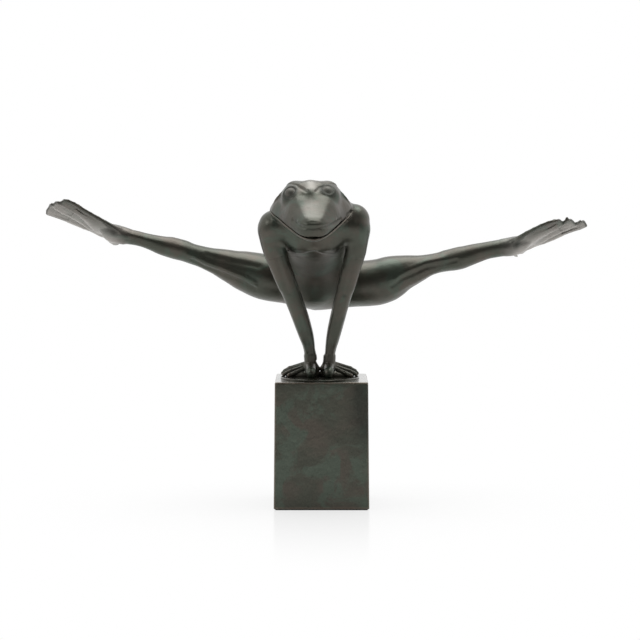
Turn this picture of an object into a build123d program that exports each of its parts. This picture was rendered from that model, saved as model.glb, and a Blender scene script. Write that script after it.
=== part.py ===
from build123d import *
from math import cos, radians, sin
import os

os.makedirs("parts", exist_ok=True)

# A bronze frog doing a leapfrog handstand on a square plinth, in millimetres.
# The frog faces -Y, its own left is +X, and the felt under the plinth rests on Z = 0.

# Plinth casting, open below
plinth_foot_width = 91.0
plinth_height = 121.0
plinth_draft_angle = 0.55
plinth_wall = 4.0
plinth_top_wall = 5.0
plinth_corner_radius = 1.8
plinth_edge_radius = 1.4
boss_radius = 7.0
boss_inset = 5.0
boss_height = 16.0

# Closing plate, its screws and the felt
felt_thickness = 1.0
felt_inset = 1.5
base_plate_thickness = 3.0
base_plate_clearance = 0.4
screw_radius = 2.0
screw_head_radius = 3.8
screw_head_angle = 90.0
screw_length = 13.0
screw_slot_width = 1.0
screw_slot_depth = 0.7
screw_play = 0.3
thread_play = 0.05

# Thin round plate between the hands and the plinth, and its studs
disc_radius = 38.0
disc_thickness = 1.5
disc_edge_radius = 0.5
stud_radius = 2.0
stud_grip = 9.0
stud_play = 0.2
stud_tail = 1.5
washer_radius = 5.0
washer_thickness = 1.0
nut_flats_radius = 3.5
nut_thickness = 3.2

# Hands
hands_center_x = -1.5
hand_spacing = 18.6
hand_y = 2.0
hand_height = 18.0
palm_half_width = 9.0
palm_half_depth = 9.0
palm_height_shares = (0.0, 0.3, 0.65, 1.0)
palm_width_shares = (1.0, 0.95, 0.72, 0.57)
palm_depth_shares = (1.0, 0.9, 0.68, 0.57)
finger_reach = 27.0
finger_reach_shares = (0.98, 1.0, 0.93, 0.84, 0.48)
finger_angles = (30.0, 6.0, -18.0, -64.0, -128.0)
finger_root_radius = 4.4
finger_tip_radius = 2.3
finger_root_share = 0.36
wrist_pin_drop = 3.2

# Arms
shoulder_spacing = 75.0
shoulder_y = -22.0
shoulder_z = 269.0
shoulder_radius = 15.5
arm_root_offset = 6.0
arm_root_radius = 11.5
arm_joint_reach = 30.0
arm_station_shares = (0.0, 0.2, 0.45, 0.6, 0.8, 1.0)
arm_radius_shares = (0.65, 0.6, 0.54, 0.47, 0.375, 0.33)
shoulder_spigot_radius = 5.0
shoulder_spigot_length = 8.0
wrist_spigot_radius = 2.6
wrist_spigot_length = 6.0

# Torso, along an axis that falls from the neck to the rump
body_center_x = -7.0
neck_y = -14.0
neck_z = 270.0
torso_length = 122.5
torso_pitch_angle = 30.3
torso_half_width = 35.0
torso_half_depth = 30.0
torso_station_shares = (0.0, 0.12, 0.32, 0.53, 0.74, 0.89, 1.0)
torso_width_shares = (0.94, 1.0, 0.97, 0.87, 0.88, 0.68, 0.3)
torso_depth_shares = (0.95, 0.98, 1.0, 0.97, 1.0, 0.76, 0.36)
torso_rise_shares = (0.0, 0.0, -0.03, -0.07, -0.07, 0.0, 0.07)
torso_rump_radius = 6.0
body_wall = 4.0
yoke_half_height = 22.0
yoke_half_depth = 17.0
yoke_rise = 3.0
pectoral_radius = 14.0
pectoral_spacing = 22.0
pectoral_reach = 3.0
pectoral_drop = 13.0

# Legs, each lifted from the hip and swept forward a little
hip_y = 60.0
left_hip_z = 195.2
right_hip_z = 199.5
hip_middle_z = 206.5
hip_middle_half_height = 16.0
hip_middle_half_depth = 20.0
left_leg_lift_angle = 15.6
right_leg_lift_angle = 17.6
leg_sweep_angle = 9.5
leg_length = 204.0
hip_joint_reach = 36.0
thigh_radius = 23.0
leg_station_shares = (0.0, 0.155, 0.25, 0.345, 0.44, 0.53, 0.62, 0.715, 0.81, 0.9, 1.0)
leg_height_shares = (0.93, 0.96, 0.88, 0.7, 0.53, 0.43, 0.43, 0.42, 0.36, 0.335, 0.32)
leg_depth_shares = (1.0, 0.92, 0.81, 0.68, 0.57, 0.5, 0.46, 0.43, 0.37, 0.33, 0.3)
hip_spigot_radius = 12.0
hip_spigot_bore_radius = 8.0
hip_spigot_length = 12.0
thigh_core_share = 0.3

# Webbed feet
left_foot_lift_angle = 20.0
right_foot_lift_angle = 25.0
foot_tilt_angle = 27.0
foot_length = 72.0
foot_half_width = 22.0
web_thickness = 2.0
web_depth = 4.0
web_front_bend_shares = (0.3, 1.7)
web_rear_bend_shares = (0.45, 2.5)
toe_reach_shares = (0.74, 0.86, 0.97, 1.0)
toe_spread_shares = (-0.76, -0.4, 0.18, 0.88)
toe_root_radius = 3.4
toe_tip_radius = 1.9
toe_root_spread_share = 0.22
instep_station_shares = (0.0, 0.2, 0.42)
instep_width_shares = (0.3, 0.42, 0.55)
instep_height_shares = (0.33, 0.22, 0.08)
ankle_spigot_radius = 3.4
ankle_spigot_length = 8.0

# Head, pitched down, measured from the middle of the jaw hinge
head_side_offset = -2.4
head_y = -36.0
head_z = 283.0
head_pitch_angle = 25.0
snout_reach = 56.0
head_half_width = 39.0
skull_height = 31.0
jaw_depth = 13.0
head_station_shares = (-0.38, -0.14, 0.14, 0.42, 0.7, 0.9, 1.0)
head_width_shares = (0.86, 1.0, 0.92, 0.715, 0.48, 0.27, 0.12)
skull_height_shares = (0.86, 0.98, 1.0, 0.9, 0.7, 0.48, 0.27)
jaw_depth_shares = (0.9, 1.0, 1.0, 0.85, 0.62, 0.46, 0.25)
mouth_gap = 1.2
mouth_groove_depth = 2.4
lower_lip_inset = 0.9
eye_spacing = 36.5
eye_height = 26.0
eye_reach = 9.0
eye_radius = 5.4
eye_bulge = 3.4
eye_turn_angle = 32.0
eyelid_radius = 7.4
eyelid_sink = 1.4
nape_station_shares = (-0.1, -0.36, -0.75)
nape_width_shares = (0.985, 0.92, 0.7)
nape_height_shares = (0.71, 0.74, 0.5)
nape_rise_shares = (0.29, -0.22, -0.75)
head_core_station_shares = (0.04, 0.35, 0.68)
head_core_width_shares = (0.74, 0.59, 0.32)
head_core_height_shares = (0.5, 0.46, 0.28)
head_core_rise_shares = (0.3, 0.28, 0.14)
neck_spigot_radius = 13.0
neck_spigot_bore_radius = 9.0
neck_spigot_length = 10.0
neck_spigot_rise = 6.0

# Joint pins, filed flush with the bronze, and the fits between the castings
pin_radius = 1.5
small_pin_radius = 0.9
pin_play = 0.05
socket_play = 0.1
end_play = 0.2
overrun = 5.0

plinth_top = felt_thickness + plinth_height
disc_top = plinth_top + disc_thickness
plinth_inner_half = plinth_foot_width / 2 - plinth_wall
boss_spacing = 2 * (plinth_inner_half - boss_inset)
wrist_z = disc_top + hand_height
base_plate_width = 2 * plinth_inner_half - 2 * base_plate_clearance


def hand_point(side):
    """Middle of the wrist of the hand on one side, +1 for the frog's left."""
    return Vector(hands_center_x + side * hand_spacing / 2, hand_y, wrist_z)


def shoulder_point(side):
    """Centre of the round of the shoulder."""
    return Vector(body_center_x + side * shoulder_spacing / 2, shoulder_y, shoulder_z)


def arm_root(side):
    """Start of the arm's axis, a little outside the centre of the shoulder."""
    return shoulder_point(side) + Vector(side * arm_root_offset, 0, 0)


def between(start, end):
    """Plane at start whose normal points to end."""
    return Plane(origin=start, z_dir=end - start)


def arm_plane(side):
    return between(arm_root(side), hand_point(side))


def arm_length(side):
    return (hand_point(side) - arm_root(side)).length


def side_vector(side, lift, sweep):
    """Unit vector that points to one side, lifted and swept forward by angles in degrees."""
    flat = cos(radians(lift))
    return Vector(side * flat * cos(radians(sweep)), -flat * sin(radians(sweep)), sin(radians(lift)))


def leg_plane(side, lift):
    """Plane through the hips, square to the leg, with its local Y pointing up."""
    rearward = Vector(sin(radians(leg_sweep_angle)), side * cos(radians(leg_sweep_angle)), 0)
    return Plane(
        origin=(body_center_x, hip_y, hip_heights[side]),
        x_dir=rearward,
        z_dir=side_vector(side, lift, leg_sweep_angle),
    )


def foot_plane(side, lift):
    """Plane of the web, with X from the ankle to the toes and Z out of the back of the foot."""
    ankle = leg_plane(side, lift).offset(leg_length).origin
    toward_toes = side_vector(side, foot_lifts[side], leg_sweep_angle)
    rearward = Vector(side * sin(radians(leg_sweep_angle)), cos(radians(leg_sweep_angle)), 0)
    upward = toward_toes.cross(rearward) * side
    back = upward * cos(radians(foot_tilt_angle)) + rearward * sin(radians(foot_tilt_angle))
    return Plane(origin=ankle, x_dir=toward_toes, z_dir=back)


def ellipses(plane, reaches, half_widths, half_heights, rises):
    """Ellipse faces square to a plane's normal, one for each reach along it."""
    faces = []
    for reach, half_width, half_height, rise in zip(reaches, half_widths, half_heights, rises):
        with BuildSketch(plane.offset(reach)) as section:
            with Locations((0, rise)):
                Ellipse(half_width, half_height)
        faces.append(section.sketch)
    return faces


def scaled(shares, size):
    return [share * size for share in shares]


def rod(plane, start, end, radius):
    """Straight rod along a plane's normal, made outside any part block."""
    with BuildPart(mode=Mode.PRIVATE) as bar:
        with BuildSketch(plane.offset(start)):
            Circle(radius)
        extrude(amount=end - start)
    return bar.part


# Planes that the castings share
torso_plane = Plane(
    origin=(body_center_x, neck_y, neck_z),
    x_dir=(1, 0, 0),
    z_dir=(0, cos(radians(torso_pitch_angle)), -sin(radians(torso_pitch_angle))),
)
head_plane = Plane(
    origin=(body_center_x + head_side_offset, head_y, head_z),
    x_dir=(1, 0, 0),
    z_dir=(0, -cos(radians(head_pitch_angle)), -sin(radians(head_pitch_angle))),
)
head_joint_plane = head_plane.offset(nape_station_shares[0] * snout_reach)
mouth_plane = Plane(origin=head_plane.origin, x_dir=(1, 0, 0), z_dir=head_plane.y_dir)
leg_lifts = {1: left_leg_lift_angle, -1: right_leg_lift_angle}
hip_heights = {1: left_hip_z, -1: right_hip_z}
foot_lifts = {1: left_foot_lift_angle, -1: right_foot_lift_angle}

# Plinth casting with a drafted outside, an open underside and four screw bosses
with BuildPart() as plinth_shell:
    with BuildSketch(Plane.XY.offset(felt_thickness)):
        RectangleRounded(plinth_foot_width, plinth_foot_width, plinth_corner_radius)
    extrude(amount=plinth_height, taper=plinth_draft_angle)
    fillet(plinth_shell.faces().sort_by(Axis.Z)[-1].edges(), radius=plinth_edge_radius)
    with BuildSketch(Plane.XY.offset(felt_thickness)):
        Rectangle(2 * plinth_inner_half, 2 * plinth_inner_half)
    extrude(amount=plinth_height - plinth_top_wall, taper=plinth_draft_angle, mode=Mode.SUBTRACT)
    with BuildSketch(Plane.XY.offset(felt_thickness + base_plate_thickness)):
        with GridLocations(boss_spacing, boss_spacing, 2, 2):
            Circle(boss_radius)
        Rectangle(2 * plinth_inner_half, 2 * plinth_inner_half, mode=Mode.INTERSECT)
    extrude(amount=boss_height)
    with BuildSketch(Plane.XY.offset(felt_thickness + base_plate_thickness)):
        with GridLocations(boss_spacing, boss_spacing, 2, 2):
            Circle(screw_radius + thread_play)
    extrude(amount=screw_length - base_plate_thickness + stud_tail, mode=Mode.SUBTRACT)
    for side in leg_lifts:
        palm = hand_point(side)
        with BuildSketch(Plane(origin=(palm.X, palm.Y, plinth_top - plinth_top_wall - overrun))):
            Circle(stud_radius + stud_play)
        extrude(amount=plinth_top_wall + 2 * overrun, mode=Mode.SUBTRACT)
plinth_shell.part.label = "plinth_shell"
export_step(plinth_shell.part, "parts/plinth_shell.step")

# Closing plate let into the open underside
with BuildPart() as base_plate:
    with BuildSketch(Plane.XY.offset(felt_thickness)):
        Rectangle(base_plate_width, base_plate_width)
    extrude(amount=base_plate_thickness, taper=plinth_draft_angle)
    with Locations(base_plate.faces().sort_by(Axis.Z)[0]):
        with GridLocations(boss_spacing, boss_spacing, 2, 2):
            CounterSinkHole(
                radius=screw_radius + screw_play,
                counter_sink_radius=screw_head_radius + screw_play,
                counter_sink_angle=screw_head_angle,
            )
base_plate.part.label = "base_plate"
export_step(base_plate.part, "parts/base_plate.step")

with BuildPart() as base_screws:
    with BuildSketch(Plane.XY.offset(felt_thickness)):
        with GridLocations(boss_spacing, boss_spacing, 2, 2):
            Circle(screw_head_radius)
    extrude(amount=screw_head_radius - screw_radius, taper=screw_head_angle / 2)
    with BuildSketch(Plane.XY.offset(felt_thickness)):
        with GridLocations(boss_spacing, boss_spacing, 2, 2):
            Circle(screw_radius)
    extrude(amount=screw_length)
    with BuildSketch(Plane.XY.offset(felt_thickness)):
        with GridLocations(boss_spacing, boss_spacing, 2, 2):
            Rectangle(2 * screw_head_radius, screw_slot_width)
    extrude(amount=screw_slot_depth, mode=Mode.SUBTRACT)
base_screws.part.label = "base_screws"
export_step(base_screws.part, "parts/base_screws.step")

with BuildPart() as felt_base:
    with BuildSketch():
        RectangleRounded(
            plinth_foot_width - 2 * felt_inset, plinth_foot_width - 2 * felt_inset, plinth_corner_radius
        )
    extrude(amount=felt_thickness)
felt_base.part.label = "felt_base"
export_step(felt_base.part, "parts/felt_base.step")

# Round plate that the hands are cast to stand on
with BuildPart() as hand_disc:
    with BuildSketch(Plane(origin=(hands_center_x, 0, plinth_top))):
        Circle(disc_radius)
        with Locations((hand_spacing / 2, hand_y), (-hand_spacing / 2, hand_y)):
            Circle(stud_radius + stud_play, mode=Mode.SUBTRACT)
    extrude(amount=disc_thickness)
    top_rim = hand_disc.faces().sort_by(Axis.Z)[-1].outer_wire().edges()
    fillet(top_rim, radius=disc_edge_radius)
hand_disc.part.label = "hand_disc"
export_step(hand_disc.part, "parts/hand_disc.step")

# Studs, washers and nuts that hold the hands down from inside the plinth
fixing_base = plinth_top - plinth_top_wall
with BuildPart() as hand_studs:
    stud_foot = fixing_base - washer_thickness - nut_thickness - stud_tail
    with BuildSketch(Plane(origin=(hands_center_x, hand_y, stud_foot))):
        with Locations((hand_spacing / 2, 0), (-hand_spacing / 2, 0)):
            Circle(stud_radius)
    extrude(amount=disc_top + stud_grip - stud_foot)
hand_studs.part.label = "hand_studs"
export_step(hand_studs.part, "parts/hand_studs.step")

with BuildPart() as stud_washers:
    with BuildSketch(Plane(origin=(hands_center_x, hand_y, fixing_base - washer_thickness))):
        with Locations((hand_spacing / 2, 0), (-hand_spacing / 2, 0)):
            Circle(washer_radius)
            Circle(stud_radius + stud_play, mode=Mode.SUBTRACT)
    extrude(amount=washer_thickness)
stud_washers.part.label = "stud_washers"
export_step(stud_washers.part, "parts/stud_washers.step")

with BuildPart() as stud_nuts:
    nut_foot = fixing_base - washer_thickness - nut_thickness
    with BuildSketch(Plane(origin=(hands_center_x, hand_y, nut_foot))):
        with Locations((hand_spacing / 2, 0), (-hand_spacing / 2, 0)):
            RegularPolygon(nut_flats_radius, 6, major_radius=False)
            Circle(stud_radius + thread_play, mode=Mode.SUBTRACT)
    extrude(amount=nut_thickness)
stud_nuts.part.label = "stud_nuts"
export_step(stud_nuts.part, "parts/stud_nuts.step")


def shoulder_pin(side, radius):
    """Pin through the shoulder spigot from the front."""
    crossing = arm_plane(side).offset(arm_joint_reach - shoulder_spigot_length / 2).origin
    return rod(Plane(origin=crossing, z_dir=(0, -1, 0)), -shoulder_spigot_radius, shoulder_radius, radius)


def hip_pin(side, radius):
    """Pin up through the underside of the hip into the wall of the spigot."""
    crossing = leg_plane(side, leg_lifts[side]).offset(hip_joint_reach - hip_spigot_length / 2).origin
    return rod(Plane(origin=crossing, z_dir=(0, 0, -1)), hip_spigot_bore_radius, 2 * thigh_radius, radius)


def wrist_pin(side, radius):
    """Pin across the wrist spigot, from side to side."""
    wrist = hand_point(side)
    crossing = Vector(wrist.X, wrist.Y, wrist.Z - wrist_pin_drop)
    return rod(Plane(origin=crossing, z_dir=(1, 0, 0)), -palm_half_width, palm_half_width, radius)


def ankle_pin(side, radius):
    """Pin across the ankle spigot, from the front to the back."""
    crossing = leg_plane(side, leg_lifts[side]).offset(leg_length - ankle_spigot_length / 2).origin
    return rod(Plane(origin=crossing, z_dir=(0, 1, 0)), -palm_half_width, palm_half_width, radius)


def neck_pin(radius):
    """Pin down through the nape into the wall of the neck spigot."""
    seat = head_joint_plane.offset(-neck_spigot_length / 2).from_local_coords(Vector(0, neck_spigot_rise, 0))
    upward = Plane(origin=seat, z_dir=head_joint_plane.y_dir)
    return rod(upward, neck_spigot_bore_radius, neck_spigot_bore_radius + skull_height, radius)


def neck_spigot(start, end, radius):
    """Rod along the neck joint, set a little above the line of the mouth."""
    middle = head_joint_plane.from_local_coords(Vector(0, neck_spigot_rise, 0))
    return rod(Plane(origin=middle, z_dir=head_joint_plane.z_dir), start, end, radius)


def torso_sections(inset):
    """Ellipses of the trunk, drawn in by a wall."""
    return ellipses(
        torso_plane,
        scaled(torso_station_shares, torso_length),
        [half - inset for half in scaled(torso_width_shares, torso_half_width)],
        [half - inset for half in scaled(torso_depth_shares, torso_half_depth)],
        [-rise for rise in scaled(torso_rise_shares, torso_half_depth)],
    )


def nape_sections():
    """Ellipses from the back of the head down into the trunk, along the axis of the head."""
    return ellipses(
        head_plane,
        scaled(nape_station_shares, snout_reach),
        scaled(nape_width_shares, head_half_width),
        scaled(nape_height_shares, skull_height),
        scaled(nape_rise_shares, skull_height),
    )


# Outside of the trunk, with the neck, the shoulders, the breast and the hips
with BuildPart() as trunk:
    loft(torso_sections(0))
    fillet(trunk.faces().sort_by(Axis.Y)[-1].edges(), radius=torso_rump_radius)
    loft(nape_sections())
    for side, lift in leg_lifts.items():
        shoulder = shoulder_point(side)
        reach_x = shoulder_spacing / 2
        yoke = Plane(origin=(body_center_x, shoulder_y, shoulder_z), x_dir=(0, 1, 0), z_dir=(side, 0, 0))
        yoke_sections = ellipses(
            yoke,
            [0, reach_x / 2, reach_x],
            [yoke_half_depth, yoke_half_depth, shoulder_radius],
            [yoke_half_height, yoke_half_height, shoulder_radius],
            [side * yoke_rise, side * yoke_rise, 0],
        )
        loft(yoke_sections)
        with Locations(shoulder):
            Sphere(shoulder_radius)
        stub_radii = [arm_root_radius, arm_radius_shares[0] * shoulder_radius]
        loft(ellipses(arm_plane(side), [0, arm_joint_reach], stub_radii, stub_radii, [0, 0]))
        hip_sections = ellipses(
            leg_plane(side, lift),
            [0, hip_joint_reach],
            [hip_middle_half_depth, thigh_radius],
            [hip_middle_half_height, leg_height_shares[0] * thigh_radius],
            [hip_middle_z - hip_heights[side], 0],
        )
        loft(hip_sections)
        breast = Vector(
            body_center_x + side * pectoral_spacing / 2, neck_y - pectoral_reach, neck_z - pectoral_drop
        )
        with Locations(breast):
            Sphere(pectoral_radius)

# The trunk is cored, with a socket and a pin hole for the head and each limb
with BuildPart() as torso:
    add(trunk.part)
    with BuildPart(mode=Mode.PRIVATE) as trunk_core:
        loft(torso_sections(body_wall))
        split(bisect_by=torso_plane.offset(torso_length - body_wall), keep=Keep.BOTTOM)
    add(trunk_core.part, mode=Mode.SUBTRACT)
    neck_socket_radius = neck_spigot_radius + socket_play
    add(neck_spigot(-neck_spigot_length - end_play, overrun, neck_socket_radius), mode=Mode.SUBTRACT)
    add(neck_pin(pin_radius + pin_play), mode=Mode.SUBTRACT)
    for side, lift in leg_lifts.items():
        socket_start = arm_joint_reach - shoulder_spigot_length - end_play
        socket_radius = shoulder_spigot_radius + socket_play
        add(rod(arm_plane(side), socket_start, arm_joint_reach + overrun, socket_radius), mode=Mode.SUBTRACT)
        add(shoulder_pin(side, pin_radius + pin_play), mode=Mode.SUBTRACT)
        hip_start = hip_joint_reach - hip_spigot_length - end_play
        hip_radius = hip_spigot_radius + socket_play
        add(rod(leg_plane(side, lift), hip_start, hip_joint_reach + overrun, hip_radius), mode=Mode.SUBTRACT)
        add(hip_pin(side, pin_radius + pin_play), mode=Mode.SUBTRACT)
torso.part.label = "torso"
export_step(torso.part, "parts/torso.step")


def head_sections(half_heights, inset):
    """Ellipses across the head, drawn in at the sides by an inset."""
    widths = [half - inset for half in scaled(head_width_shares, head_half_width)]
    reaches = scaled(head_station_shares, snout_reach)
    return ellipses(head_plane, reaches, widths, half_heights, [0] * len(reaches))


# Head: a skull dome over a lower jaw, parted by the groove of the mouth
with BuildPart() as skull:
    loft(head_sections(scaled(skull_height_shares, skull_height), 0))
    split(bisect_by=mouth_plane, keep=Keep.TOP)

with BuildPart() as jaw:
    loft(head_sections(scaled(jaw_depth_shares, jaw_depth), lower_lip_inset))
    split(bisect_by=mouth_plane.offset(-mouth_gap), keep=Keep.BOTTOM)

with BuildPart() as gum:
    loft(head_sections(scaled(jaw_depth_shares, jaw_depth), mouth_groove_depth))
    split(bisect_by=mouth_plane.offset(mouth_gap), keep=Keep.BOTTOM)
    split(bisect_by=mouth_plane.offset(-2 * mouth_gap), keep=Keep.TOP)

with BuildPart() as head:
    add(skull.part)
    add(jaw.part)
    add(gum.part)
    for side in leg_lifts:
        brow = head_plane.offset(eye_reach).from_local_coords(
            Vector(side * eye_spacing / 2, eye_height - eyelid_sink, 0)
        )
        look = Vector(side * sin(radians(eye_turn_angle)), -cos(radians(eye_turn_angle)), 0)
        with Locations(brow):
            Sphere(eyelid_radius)
        with Locations(brow + look * eye_bulge):
            Sphere(eye_radius)
    split(bisect_by=head_joint_plane, keep=Keep.TOP)
    add(trunk.part, mode=Mode.SUBTRACT)
    add(neck_spigot(-neck_spigot_length, 0, neck_spigot_radius))
    with BuildPart(mode=Mode.PRIVATE) as head_core:
        loft(
            ellipses(
                head_plane,
                scaled(head_core_station_shares, snout_reach),
                scaled(head_core_width_shares, head_half_width),
                scaled(head_core_height_shares, skull_height),
                scaled(head_core_rise_shares, skull_height),
            )
        )
        add(neck_spigot(-neck_spigot_length, neck_spigot_length, neck_spigot_bore_radius))
    add(head_core.part, mode=Mode.SUBTRACT)
    add(neck_pin(pin_radius + pin_play), mode=Mode.SUBTRACT)
head.part.label = "head"
export_step(head.part, "parts/head.step")


def make_hand(side):
    """Palm that rises to the wrist, with five fingers spread on the round plate."""
    wrist = hand_point(side)
    foot = Vector(wrist.X, wrist.Y, disc_top)
    with BuildPart() as hand:
        palm_sections = ellipses(
            Plane(origin=foot),
            scaled(palm_height_shares, hand_height),
            scaled(palm_width_shares, palm_half_width),
            scaled(palm_depth_shares, palm_half_depth),
            scaled(palm_height_shares, 0),
        )
        loft(palm_sections)
        for angle, share in zip(finger_angles, finger_reach_shares):
            reach = share * finger_reach - finger_tip_radius
            outward = Vector(side * cos(radians(angle)), sin(radians(angle)), 0)
            knuckle = foot + outward * reach * finger_root_share + Vector(0, 0, finger_root_radius)
            tip = foot + outward * reach + Vector(0, 0, finger_tip_radius / 2)
            radii = [finger_root_radius, finger_tip_radius]
            loft(ellipses(between(knuckle, tip), [0, (tip - knuckle).length], radii, radii, [0, 0]))
            with Locations(tip):
                Sphere(finger_tip_radius)
        split(bisect_by=Plane.XY.offset(disc_top), keep=Keep.TOP)
    return hand.part


def make_arm(side):
    """Tapered arm between the stub of the shoulder and the wrist."""
    length = arm_length(side)
    free_length = length + wrist_spigot_length - arm_joint_reach
    reaches = [arm_joint_reach + share * free_length for share in arm_station_shares]
    radii = scaled(arm_radius_shares, shoulder_radius)
    with BuildPart() as arm:
        loft(ellipses(arm_plane(side), reaches, radii, radii, [0] * len(radii)))
        split(bisect_by=Plane.XY.offset(wrist_z), keep=Keep.TOP)
        add(trunk.part, mode=Mode.SUBTRACT)
    return arm.part


def leg_sections(side, inset, last_share):
    """Ellipses of the leg up to a share of its free length, drawn in by a wall."""
    free_length = leg_length - hip_joint_reach
    kept = []
    for share, height, depth in zip(leg_station_shares, leg_height_shares, leg_depth_shares):
        if share <= last_share:
            reach = hip_joint_reach + share * free_length
            kept.append((reach, depth * thigh_radius - inset, height * thigh_radius - inset))
    reaches, depths, heights = zip(*kept)
    return ellipses(leg_plane(side, leg_lifts[side]), reaches, depths, heights, [0] * len(kept))


def make_leg(side):
    """Thigh and shin in one piece, trimmed where it meets the trunk."""
    with BuildPart() as leg:
        loft(leg_sections(side, 0, 1))
        add(trunk.part, mode=Mode.SUBTRACT)
    return leg.part


def thigh_core(side):
    """Room left by the core of the thigh, open to the bore of its spigot."""
    plane = leg_plane(side, leg_lifts[side])
    core_start = hip_joint_reach + body_wall
    with BuildPart(mode=Mode.PRIVATE) as cavity:
        loft(leg_sections(side, body_wall, thigh_core_share))
        split(bisect_by=plane.offset(core_start), keep=Keep.TOP)
        add(rod(plane, hip_joint_reach - hip_spigot_length, core_start + overrun, hip_spigot_bore_radius))
    return cavity.part


def make_foot(side):
    """Webbed foot: a thin scalloped web with four toes and an instep."""
    plane = foot_plane(side, leg_lifts[side])
    ankle = leg_plane(side, leg_lifts[side]).offset(leg_length)
    tips = []
    for reach, spread in zip(toe_reach_shares, toe_spread_shares):
        tips.append(Vector(reach * foot_length, side * spread * foot_half_width))
    ankle_half = instep_width_shares[0] * foot_half_width
    front_along, front_out = web_front_bend_shares
    rear_along, rear_out = web_rear_bend_shares
    with BuildPart() as foot:
        with BuildSketch(plane):
            with BuildLine():
                front_edge = Spline(
                    (0, -side * ankle_half),
                    (front_along * foot_length, -side * front_out * ankle_half),
                    (tips[0].X, tips[0].Y),
                )
                for inner, outer in zip(tips, tips[1:]):
                    middle = (inner + outer) / 2
                    ThreePointArc(inner, (middle.X - web_depth, middle.Y), outer)
                rear_edge = Spline(
                    (tips[-1].X, tips[-1].Y),
                    (rear_along * foot_length, side * rear_out * ankle_half),
                    (0, side * ankle_half),
                )
                Line(rear_edge @ 1, front_edge @ 0)
            make_face()
        extrude(amount=web_thickness / 2, both=True)
        for tip in tips:
            root = plane.from_local_coords(Vector(0, tip.Y * toe_root_spread_share, 0))
            end = plane.from_local_coords(tip)
            radii = [toe_root_radius, toe_tip_radius]
            loft(ellipses(between(root, end), [0, (end - root).length], radii, radii, [0, 0]))
        upright = Plane(origin=plane.origin, x_dir=plane.y_dir, z_dir=plane.x_dir)
        instep = ellipses(
            upright,
            scaled(instep_station_shares[1:], foot_length),
            scaled(instep_width_shares[1:], foot_half_width),
            scaled(instep_height_shares[1:], foot_half_width),
            [0] * (len(instep_station_shares) - 1),
        )
        shin_end = ellipses(
            ankle, [0], [leg_depth_shares[-1] * thigh_radius], [leg_height_shares[-1] * thigh_radius], [0]
        )
        loft(shin_end + instep)
        split(bisect_by=ankle, keep=Keep.TOP)
    return foot.part


# Hands, arms, legs and feet, each with its spigot, its socket and the holes for its pins
hand_bodies = {side: make_hand(side) for side in leg_lifts}
leg_bodies = {side: make_leg(side) for side in leg_lifts}
side_words = {1: "left", -1: "right"}

for side, word in side_words.items():
    arm_end = arm_length(side)
    with BuildPart() as hand:
        add(hand_bodies[side])
        socket_radius = wrist_spigot_radius + socket_play
        socket_end = arm_end + wrist_spigot_length
        add(rod(arm_plane(side), arm_end - overrun, socket_end, socket_radius), mode=Mode.SUBTRACT)
        add(wrist_pin(side, small_pin_radius + pin_play), mode=Mode.SUBTRACT)
        palm = hand_point(side)
        with BuildSketch(Plane(origin=(palm.X, palm.Y, disc_top))):
            Circle(stud_radius + thread_play)
        extrude(amount=stud_grip + thread_play, mode=Mode.SUBTRACT)
    hand.part.label = word + "_hand"
    export_step(hand.part, "parts/" + word + "_hand.step")

    with BuildPart() as arm:
        add(make_arm(side))
        spigot_start = arm_joint_reach - shoulder_spigot_length
        add(rod(arm_plane(side), spigot_start, arm_joint_reach, shoulder_spigot_radius))
        spigot_end = arm_end + wrist_spigot_length - end_play
        add(rod(arm_plane(side), arm_end - overrun, spigot_end, wrist_spigot_radius))
        add(shoulder_pin(side, pin_radius + pin_play), mode=Mode.SUBTRACT)
        add(wrist_pin(side, small_pin_radius + pin_play), mode=Mode.SUBTRACT)
    arm.part.label = word + "_arm"
    export_step(arm.part, "parts/" + word + "_arm.step")

    hip_axis = leg_plane(side, leg_lifts[side])
    with BuildPart() as leg:
        add(leg_bodies[side])
        add(rod(hip_axis, hip_joint_reach - hip_spigot_length, hip_joint_reach, hip_spigot_radius))
        add(thigh_core(side), mode=Mode.SUBTRACT)
        add(hip_pin(side, pin_radius + pin_play), mode=Mode.SUBTRACT)
        socket_radius = ankle_spigot_radius + socket_play
        socket_start = leg_length - ankle_spigot_length
        add(rod(hip_axis, socket_start, leg_length + overrun, socket_radius), mode=Mode.SUBTRACT)
        add(ankle_pin(side, small_pin_radius + pin_play), mode=Mode.SUBTRACT)
    leg.part.label = word + "_leg"
    export_step(leg.part, "parts/" + word + "_leg.step")

    with BuildPart() as foot:
        add(make_foot(side))
        add(rod(hip_axis, leg_length - ankle_spigot_length + end_play, leg_length, ankle_spigot_radius))
        add(ankle_pin(side, small_pin_radius + pin_play), mode=Mode.SUBTRACT)
    foot.part.label = word + "_foot"
    export_step(foot.part, "parts/" + word + "_foot.step")

# Joint pins, each cut flush with the casting that it is driven into
with BuildPart() as shoulder_pins:
    for side in leg_lifts:
        add(shoulder_pin(side, pin_radius))
    add(trunk.part, mode=Mode.INTERSECT)
shoulder_pins.part.label = "shoulder_pins"
export_step(shoulder_pins.part, "parts/shoulder_pins.step")

with BuildPart() as hip_pins:
    for side in leg_lifts:
        add(hip_pin(side, pin_radius))
    add(trunk.part, mode=Mode.INTERSECT)
hip_pins.part.label = "hip_pins"
export_step(hip_pins.part, "parts/hip_pins.step")

with BuildPart() as nape_pin:
    add(neck_pin(pin_radius))
    add(trunk.part, mode=Mode.INTERSECT)
nape_pin.part.label = "nape_pin"
export_step(nape_pin.part, "parts/nape_pin.step")

with BuildPart() as wrist_pins:
    for side in leg_lifts:
        add(wrist_pin(side, small_pin_radius))
    add([hand_bodies[side] for side in leg_lifts], mode=Mode.INTERSECT)
wrist_pins.part.label = "wrist_pins"
export_step(wrist_pins.part, "parts/wrist_pins.step")

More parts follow.
